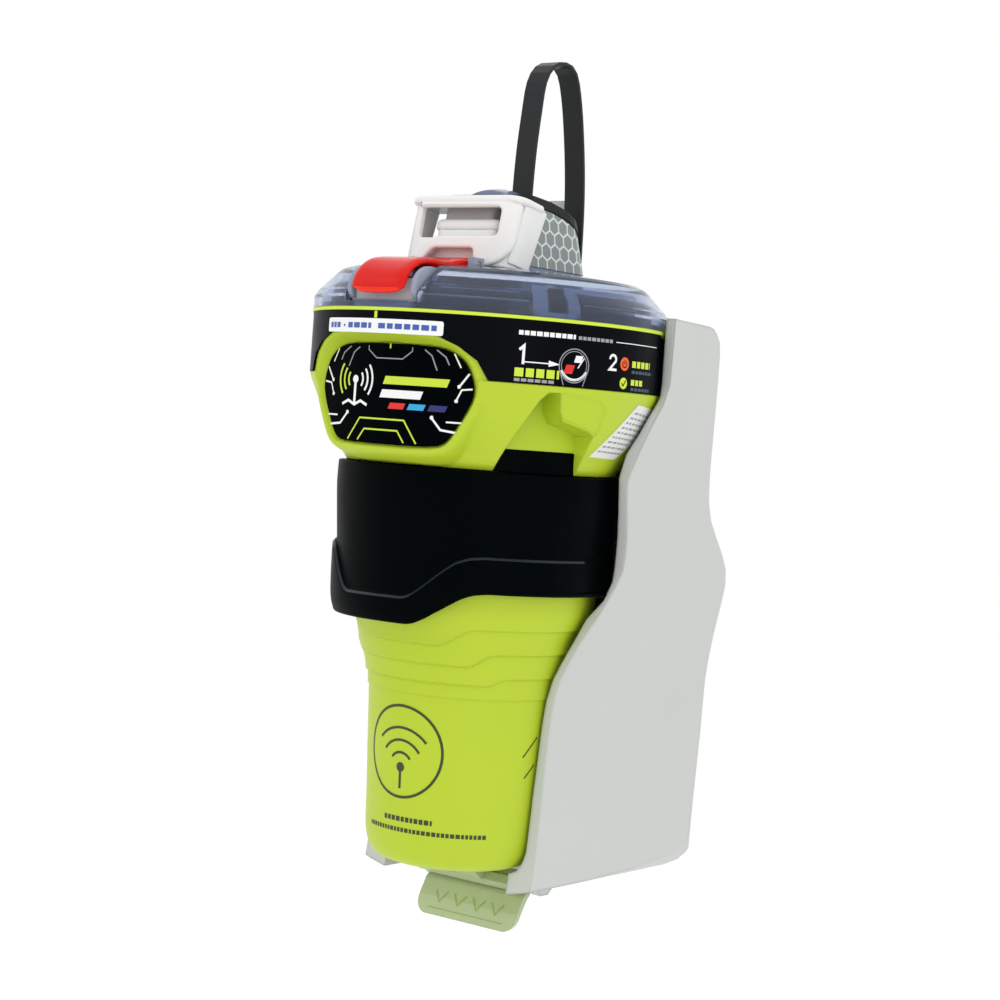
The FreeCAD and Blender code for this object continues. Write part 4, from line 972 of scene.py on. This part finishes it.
def make_lanyard_frame():
    wall = filleted([(29.0, 204.4, 0.6), (26.0, 184.3, 1.0), (8.2, 184.3, 0.5), (7.6, 190.0, 1.4), (-8.6, 190.0, 1.4),
                     (-13.0, 184.3, 0.5), (-26.0, 184.3, 1.0), (-29.0, 204.4, 0.6)])
    window = round_rect(-15.7, 15.5, 193.2, 203.2, 1.6)
    wrapped("Lanyard_frame_wall", [wall, window], 0.0, 0.9, 0.35, replaced=("lanyard_frame",))
    raised = filleted([(-15.9, 204.3, 0.3), (20.4, 204.3, 0.5), (20.2, 190.2, 7.0), (16.0, 184.0, 4.0),
                       (8.6, 184.0, 0.8), (7.3, 189.6, 1.2), (-8.3, 189.6, 1.6), (-12.9, 184.0, 0.5),
                       (-21.8, 184.0, 0.2), (-18.2, 185.2, 2.0), (-14.2, 188.6, 2.5), (-11.0, 192.4, 2.5),
                       (-7.2, 193.5, 2.0),
                       (15.4, 193.5, 1.5), (15.4, 202.5, 1.5), (-15.9, 202.5, 0.3)])
    wrapped("Lanyard_frame_rim", [raised], 1.35, 0.95, 0.75)
    for side, word in ((-1, "left"), (1, "right")):
        flap = filleted([(side * 20.8, 204.5, 0.4), (side * 31.0, 204.9, 0.8), (side * 26.6, 184.9, 0.8),
                         (side * 18.8, 185.7, 0.8)])
        wrapped("Lanyard_frame_flap_" + word, [flap], 1.15, 0.42, 0.25)
    plan = filleted([(-21.9, -21.9, 6.5), (21.9, -21.9, 6.5), (21.9, -8.8, 1.0), (-21.9, -8.8, 1.0)], 9)
    plate("Lanyard_frame_top", [plan], 1.25, 0.95, lambda x, y, depth: leaned(x, y, 205.2 + depth), WHITE,
          "frame_white", sharp=50)
    # Reel: a rounded flange over a plain drum.
    flange = round_rect(-12.9, 12.9, -18.3, -10.7, 3.8)
    drum = round_rect(-11.9, 11.9, -17.7, -11.2, 3.0)
    for name, outline, z0, z1, bevel, gone in (("Reel_flange", flange, 196.4, 200.0, 1.4, ("lanyard_reel",)),
                                               ("Reel_drum", drum, 187.2, 196.6, 0.3, ())):
        plate(name, [outline], (z1 - z0) / 2, bevel, lambda x, y, depth: leaned(x, y, (z0 + z1) / 2 + depth), WHITE,
              "frame_white", replaced=gone, sharp=50)
    # Things glimpsed through the arch.
    for name, z0, z1, mat in (("Arch_strip_pale", 187.3, 190.2, ARCH_PALE),
                              ("Arch_strip_rose", 184.6, 187.4, ARCH_ROSE)):
        plate(name, [round_rect(-12.6, 8.4, z0, z1, 0.3)], 0.25, 0.1, lambda a, b, depth: leaned(a, -18.2 - depth, b),
              mat)


ARCH_PALE = surface("Arch_pale", (224, 214, 211), rough=0.4, grain=0.05, edge=0.0)
ARCH_ROSE = surface("Arch_rose", (158, 112, 112), rough=0.3, grain=0.05, edge=0.0, mottle=0.2)
make_lanyard_frame()


# ---- thumb cover
COVER_PATH = [(-19.6, 184.2), (-22.0, 184.7), (-24.5, 184.9), (-28.0, 184.5), (-32.3, 183.6), (-36.5, 183.2),
              (-40.5, 183.3), (-44.0, 183.3), (-47.2, 182.8), (-50.0, 181.7), (-52.4, 179.9), (-54.0, 177.9),
              (-54.9, 175.9), (-55.2, 174.1)]


def curve_through(points, per_span=5):
    """Catmull-Rom curve through the points."""
    fine = []
    total = len(points)
    for i in range(total - 1):
        p0, p1, p2, p3 = (Vector(points[max(0, min(total - 1, i + k))]) for k in (-1, 0, 1, 2))
        for k in range(per_span):
            t = k / per_span
            fine.append(0.5 * ((2 * p1) + (p2 - p0) * t + (2 * p0 - 5 * p1 + 4 * p2 - p3) * t ** 2
                               + (3 * p1 - p0 - 3 * p2 + p3) * t ** 3))
    fine.append(Vector(points[-1]))
    return fine


COVER_HALF_WIDTH = 10.0
COVER_HINGE_Y, COVER_HINGE_Z = -24.5, 184.4
LIP_Y, LIP_Z, LIP_HALF_WIDTH, LIP_R = -55.1, 174.1, 9.3, 1.25


def make_thumb_cover():
    path = curve_through(COVER_PATH)
    total = len(path)
    section = circle_steps(44)
    points = []
    for i, here in enumerate(path):
        along = (path[min(i + 1, total - 1)] - path[max(i - 1, 0)]).normalized()
        up = Vector((along.y, -along.x))
        up = up if up.y > 0 or here.x < -50 and up.x < 0 else -up
        run = i / (total - 1)
        end = min(1.0, 0.0001 + min(run / 0.05, (1 - run) / 0.06))
        narrow = math.sqrt(max(0.0, 1 - (1 - end) ** 2))
        taper = 0.28 if run < 0.5 else 0.14
        half_width = COVER_HALF_WIDTH * (1 - taper + taper * narrow)
        thick = (1.35 + 0.35 * smoothstep(0.3, 0.0, run) - 0.25 * smoothstep(0.75, 1.0, run)) * (0.45 + 0.55 * narrow)
        under = 1.0 + 0.55 * smoothstep(0.6, 0.45, run)
        crown = 0.35 * smoothstep(0.42, 0.68, run)
        dish = 0.75 * math.exp(-((run - 0.72) / 0.16) ** 2)
        for across, upward in section:
            x = half_width * math.copysign(abs(across) ** 0.32, across)
            lift = thick * math.copysign(abs(upward) ** 0.8, upward) * (under if upward < 0 else 1.0)
            inner = max(0.0, 1 - (x / (0.86 * half_width)) ** 2)
            offset = float(lift + crown * (1 - (x / half_width) ** 2) - (dish * inner if upward > 0 else 0.0))
            points.append((x, here.x + up.x * offset, here.y + up.y * offset))
    faces = grid_faces(total, len(section), flip=True, caps=True)
    piece("Thumb_cover_moulded", points, faces, RED, "cover_red", "thumb_cover", replaced=("thumb_cover",), sharp=70)
    # Rounded front lip, in a lighter orange copy of the red: painted light on the lip.
    section, lip = circle_steps(16), []
    across = np.linspace(-1, 1, 33)
    for s in across:
        size = LIP_R * math.sqrt(max(0.04, 1 - abs(s) ** 6))
        lip += [(LIP_HALF_WIDTH * s, LIP_Y + size * c, LIP_Z + 0.9 * abs(s) ** 4 + size * d) for c, d in section]
    piece("Thumb_cover_lip", lip, grid_faces(len(across), len(section), caps=True), RED_LIP_LIGHT, "cover_red",
          "thumb_cover", sharp=70)
    section, knuckle = circle_steps(32), []
    for x, r in ((-9.6, 1.2), (-9.6, 1.9), (-9.3, 2.1), (9.3, 2.1), (9.6, 1.9), (9.6, 1.2)):
        knuckle += [(x, COVER_HINGE_Y + r * c, COVER_HINGE_Z + r * d) for c, d in section]
    piece("Thumb_cover_knuckle", knuckle, grid_faces(6, len(section)), RED, "cover_red", "thumb_cover", sharp=40)


make_thumb_cover()


# ---- lens details
LENS_INSIDE = [(168.0, 53.3), (171.9, 53.2), (173.6, 52.2), (175.1, 50.9), (178.6, 47.6), (180.0, 45.0)]
CHEEK = [(-49.5, 170.9, 0.6), (-52.2, 171.2, 1.2), (-54.2, 173.6, 1.6), (-53.8, 176.8, 2.0), (-51.8, 179.9, 2.0),
         (-48.6, 181.6, 2.0), (-43.2, 181.4, 0.8), (-43.0, 178.0, 0.8), (-47.4, 175.2, 2.2)]


LENS_GAP = 0.28  # artwork stands this far inside the wall


def on_lens_inside(turn, z, lift):
    return polar(float(lookup(LENS_INSIDE, z)) - LENS_GAP - lift, math.radians(turn), z)


def make_lens_details():
    dark = Ink("Lens_slot_dark", LENS_DARK, on_lens_inside, lift=0.0)
    dark.fill(round_rect(25.0, 42.0, 176.2, 178.3, 0.4), 6)
    dark.fill(round_rect(56.2, 61.6, 170.6, 177.2, 0.4), 5)
    dark.done()
    ribs = Ink("Lens_ribs_pale", FROST, on_lens_inside, lift=0.1)
    for a, b in ((50.5, 55.4), (62.4, 66.6), (10.0, 12.4)):
        ribs.fill(round_rect(a, b, 169.2, 177.8, 0.5), 5)
    ribs.fill([(66.0, 176.4), (98.0, 176.4), (98.0, 177.8), (66.0, 177.8)], 5)
    ribs.fill([(13.0, 172.8), (49.0, 172.8), (49.0, 173.25), (13.0, 173.25)], 3)
    ribs.fill([(20.0, 175.0), (46.0, 175.0), (46.0, 175.3), (20.0, 175.3)], 3)
    ribs.fill([(68.0, 173.0), (92.0, 173.0), (92.0, 173.3), (68.0, 173.3)], 3)
    ribs.done()
    for side, word in ((-1, "left"), (1, "right")):
        plate("Cover_cheek_" + word, [filleted(CHEEK)], 0.95, 0.4, lambda a, b, depth: (side * 12.1 + depth, a, b),
              FROST, "lens_clear", sharp=50)
    plate("Cover_apron", [round_rect(-11.0, 11.0, 171.2, 177.6, 1.2)], 0.5, 0.3,
          lambda a, b, depth: (a, -52.05 - depth + 0.004 * a * a, b), APRON, "lens_clear")
    sill = filleted([(-12.6, -50.4, 1.0), (-12.6, -52.0, 1.0), (12.6, -52.0, 1.0), (12.6, -50.4, 1.0)])
    plate("Cover_sill", [sill], 0.5, 0.25, lambda a, b, depth: (a, b, 171.2 + depth), FROST, "lens_clear")


APRON = surface("Apron_pale", (206, 200, 206), rough=0.3, grain=0.03, mottle=0.06, transmission=0.25, ior=1.35)
LENS_DARK = surface("Lens_dark", (20, 24, 34), rough=0.5, specular=0.1, edge=0.0, mottle=0.2)
make_lens_details()


# ---- identification sticker
STICKER_CORNERS = [(82.0, 129.4), (100.0, 129.0), (96.0, 146.0), (123.0, 144.0)]  # (degrees, z), lower edge first


def on_sheet(u, v, lift):
    """Place on the sticker, from 0 to 1 along its lower edge and upwards."""
    near_low, far_low, near_high, far_high = (np.array(corner) for corner in STICKER_CORNERS)
    low, high = near_low + (far_low - near_low) * u, near_high + (far_high - near_high) * u
    turn, z = low + (high - low) * v
    return polar(float(lookup(SKIRT, z)) + lift, math.radians(turn), z)


def make_sticker():
    sheet = Ink("Sticker_sheet", STICKER, on_sheet, slot="sticker_white", lift=0.12)
    cells = 16
    flat = [(i / cells, j / cells) for j in range(cells + 1) for i in range(cells + 1)]
    sheet.add(flat, grid_faces(cells + 1, cells + 1, closed=False))
    obj = sheet.done()
    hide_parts("id_sticker")
    print_lines = Ink("Sticker_print", INK_GREY, on_sheet, lift=0.17)
    for row_index in range(9):
        v = 0.10 + 0.092 * row_index
        u = 0.08
        while u < 0.86:
            width = random.uniform(0.05, 0.14)
            print_lines.add([(u, v), (u + width, v), (u + width, v + 0.035), (u, v + 0.035)], [(0, 1, 2, 3)])
            u += width + 0.035
    print_lines.done()


make_sticker()

# ---- release tab marks
TAB_FACE = [(-21.6, 7.9), (-16.0, 9.8), (-11.0, 12.6)]


def on_tab(x, z, lift):
    return (x, float(lookup(TAB_FACE, z)) - lift, z)


def make_tab_marks():
    marks = Ink("Tab_chevrons", INK_TAB, on_tab, body="release_tab", lift=0.1)
    for middle in (-11.0, -3.5, 4.0, 11.5):
        marks.stroke([(middle - 2.4, -14.0), (middle, -17.2), (middle + 2.4, -14.0)], 0.7)
    marks.stroke([(-15.0, -19.4), (15.0, -19.4)], 0.35)
    marks.done()


INK_TAB = ink("tab", 158, 176, 104)
make_tab_marks()

# ---- stage, light and camera
FLOOR_HALF, FLOOR_Z = 6.0, -0.32
FLOOR_SHADE = 255 * (1.055 * 0.97 ** (1 / 2.4) - 0.055)  # 0.97 in linear light
CORNERS = ((-1, -1), (1, -1), (1, 1), (-1, 1))


def make_stage():
    mesh = bpy.data.meshes.new("Floor")
    mesh.from_pydata([(FLOOR_HALF * x, FLOOR_HALF * y, FLOOR_Z) for x, y in CORNERS], [], [(0, 1, 2, 3)])
    floor = added("Floor", mesh)
    pale = surface("Floor_white", (FLOOR_SHADE,) * 3, rough=0.9, edge=0.0, grain=0.0, mottle=0.004, specular=0.1)
    glow = pale.node_tree.nodes["Principled BSDF"].inputs
    glow["Emission Color"].default_value = (1.0, 1.0, 1.0, 1.0)
    glow["Emission Strength"].default_value = 0.035
    mesh.materials.append(pale)
    floor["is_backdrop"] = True

    world = bpy.data.worlds.new("Studio")
    bpy.context.scene.world = world
    world.use_nodes = True
    background = world.node_tree.nodes["Background"].inputs
    background["Color"].default_value = (1.0, 1.0, 1.0, 1)
    background["Strength"].default_value = 1.0

    def softbox(name, place, aim, size_x, size_y, power):
        light = bpy.data.lights.new(name, "AREA")
        light.shape = "RECTANGLE"
        light.size, light.size_y, light.energy = size_x, size_y, power
        lamp = added(name, light)
        lamp.location = place
        lamp.rotation_euler = (Vector(aim) - Vector(place)).to_track_quat("-Z", "Y").to_euler()
        lamp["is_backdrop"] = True

    softbox("Key_left", (-0.9, -1.2, 0.7), (0, -0.06, 0.03), 0.8, 1.0, 0.6)
    softbox("Fill_right", (1.3, -0.9, 0.35), (0, -0.06, 0.03), 0.5, 1.1, 2.0)
    softbox("Top", (0.1, -0.3, 1.3), (0, -0.05, 0.0), 1.0, 1.0, 1.5)


make_stage()


CAMERA_TURN, CAMERA_RISE, CAMERA_ROLL = (math.radians(a) for a in (37.0, 1.9, 4.2))
CAMERA_AIM, CAMERA_SHIFT = (0, 0, 113.6), 6.9
CAMERA_AWAY = 674.0
CAMERA_LENS = 77.4


def make_camera():
    flat, rise = math.cos(CAMERA_RISE), math.sin(CAMERA_RISE)
    back = Vector((math.sin(CAMERA_TURN) * flat, -math.cos(CAMERA_TURN) * flat, rise))
    right = Vector((math.cos(CAMERA_TURN), math.sin(CAMERA_TURN), 0))
    up = back.cross(right)
    place = Vector(CAMERA_AIM) + right * CAMERA_SHIFT + back * CAMERA_AWAY
    x_axis = right * math.cos(CAMERA_ROLL) + up * math.sin(CAMERA_ROLL)
    y_axis = -right * math.sin(CAMERA_ROLL) + up * math.cos(CAMERA_ROLL)
    data = bpy.data.cameras.new("Camera")
    data.sensor_width = 36.0
    data.lens = CAMERA_LENS
    data.clip_start = 0.01
    camera = added("Camera", data)
    turn = Matrix((x_axis, y_axis, back)).transposed().to_4x4()
    camera.matrix_world = Matrix.Translation(Vector(row(*place))) @ turn
    bpy.context.scene.camera = camera


make_camera()
bpy.context.scene.view_settings.view_transform = "Standard"
bpy.context.scene.view_settings.look = "None"

bpy.context.view_layer.update()
end_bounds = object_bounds()


def plain(value):
    if isinstance(value, dict):
        return {k: plain(v) for k, v in value.items()}
    if isinstance(value, (list, tuple, Vector)):
        return [plain(v) for v in value]
    return float(value)


{"start": plain(start_bounds), "end": plain(end_bounds)}
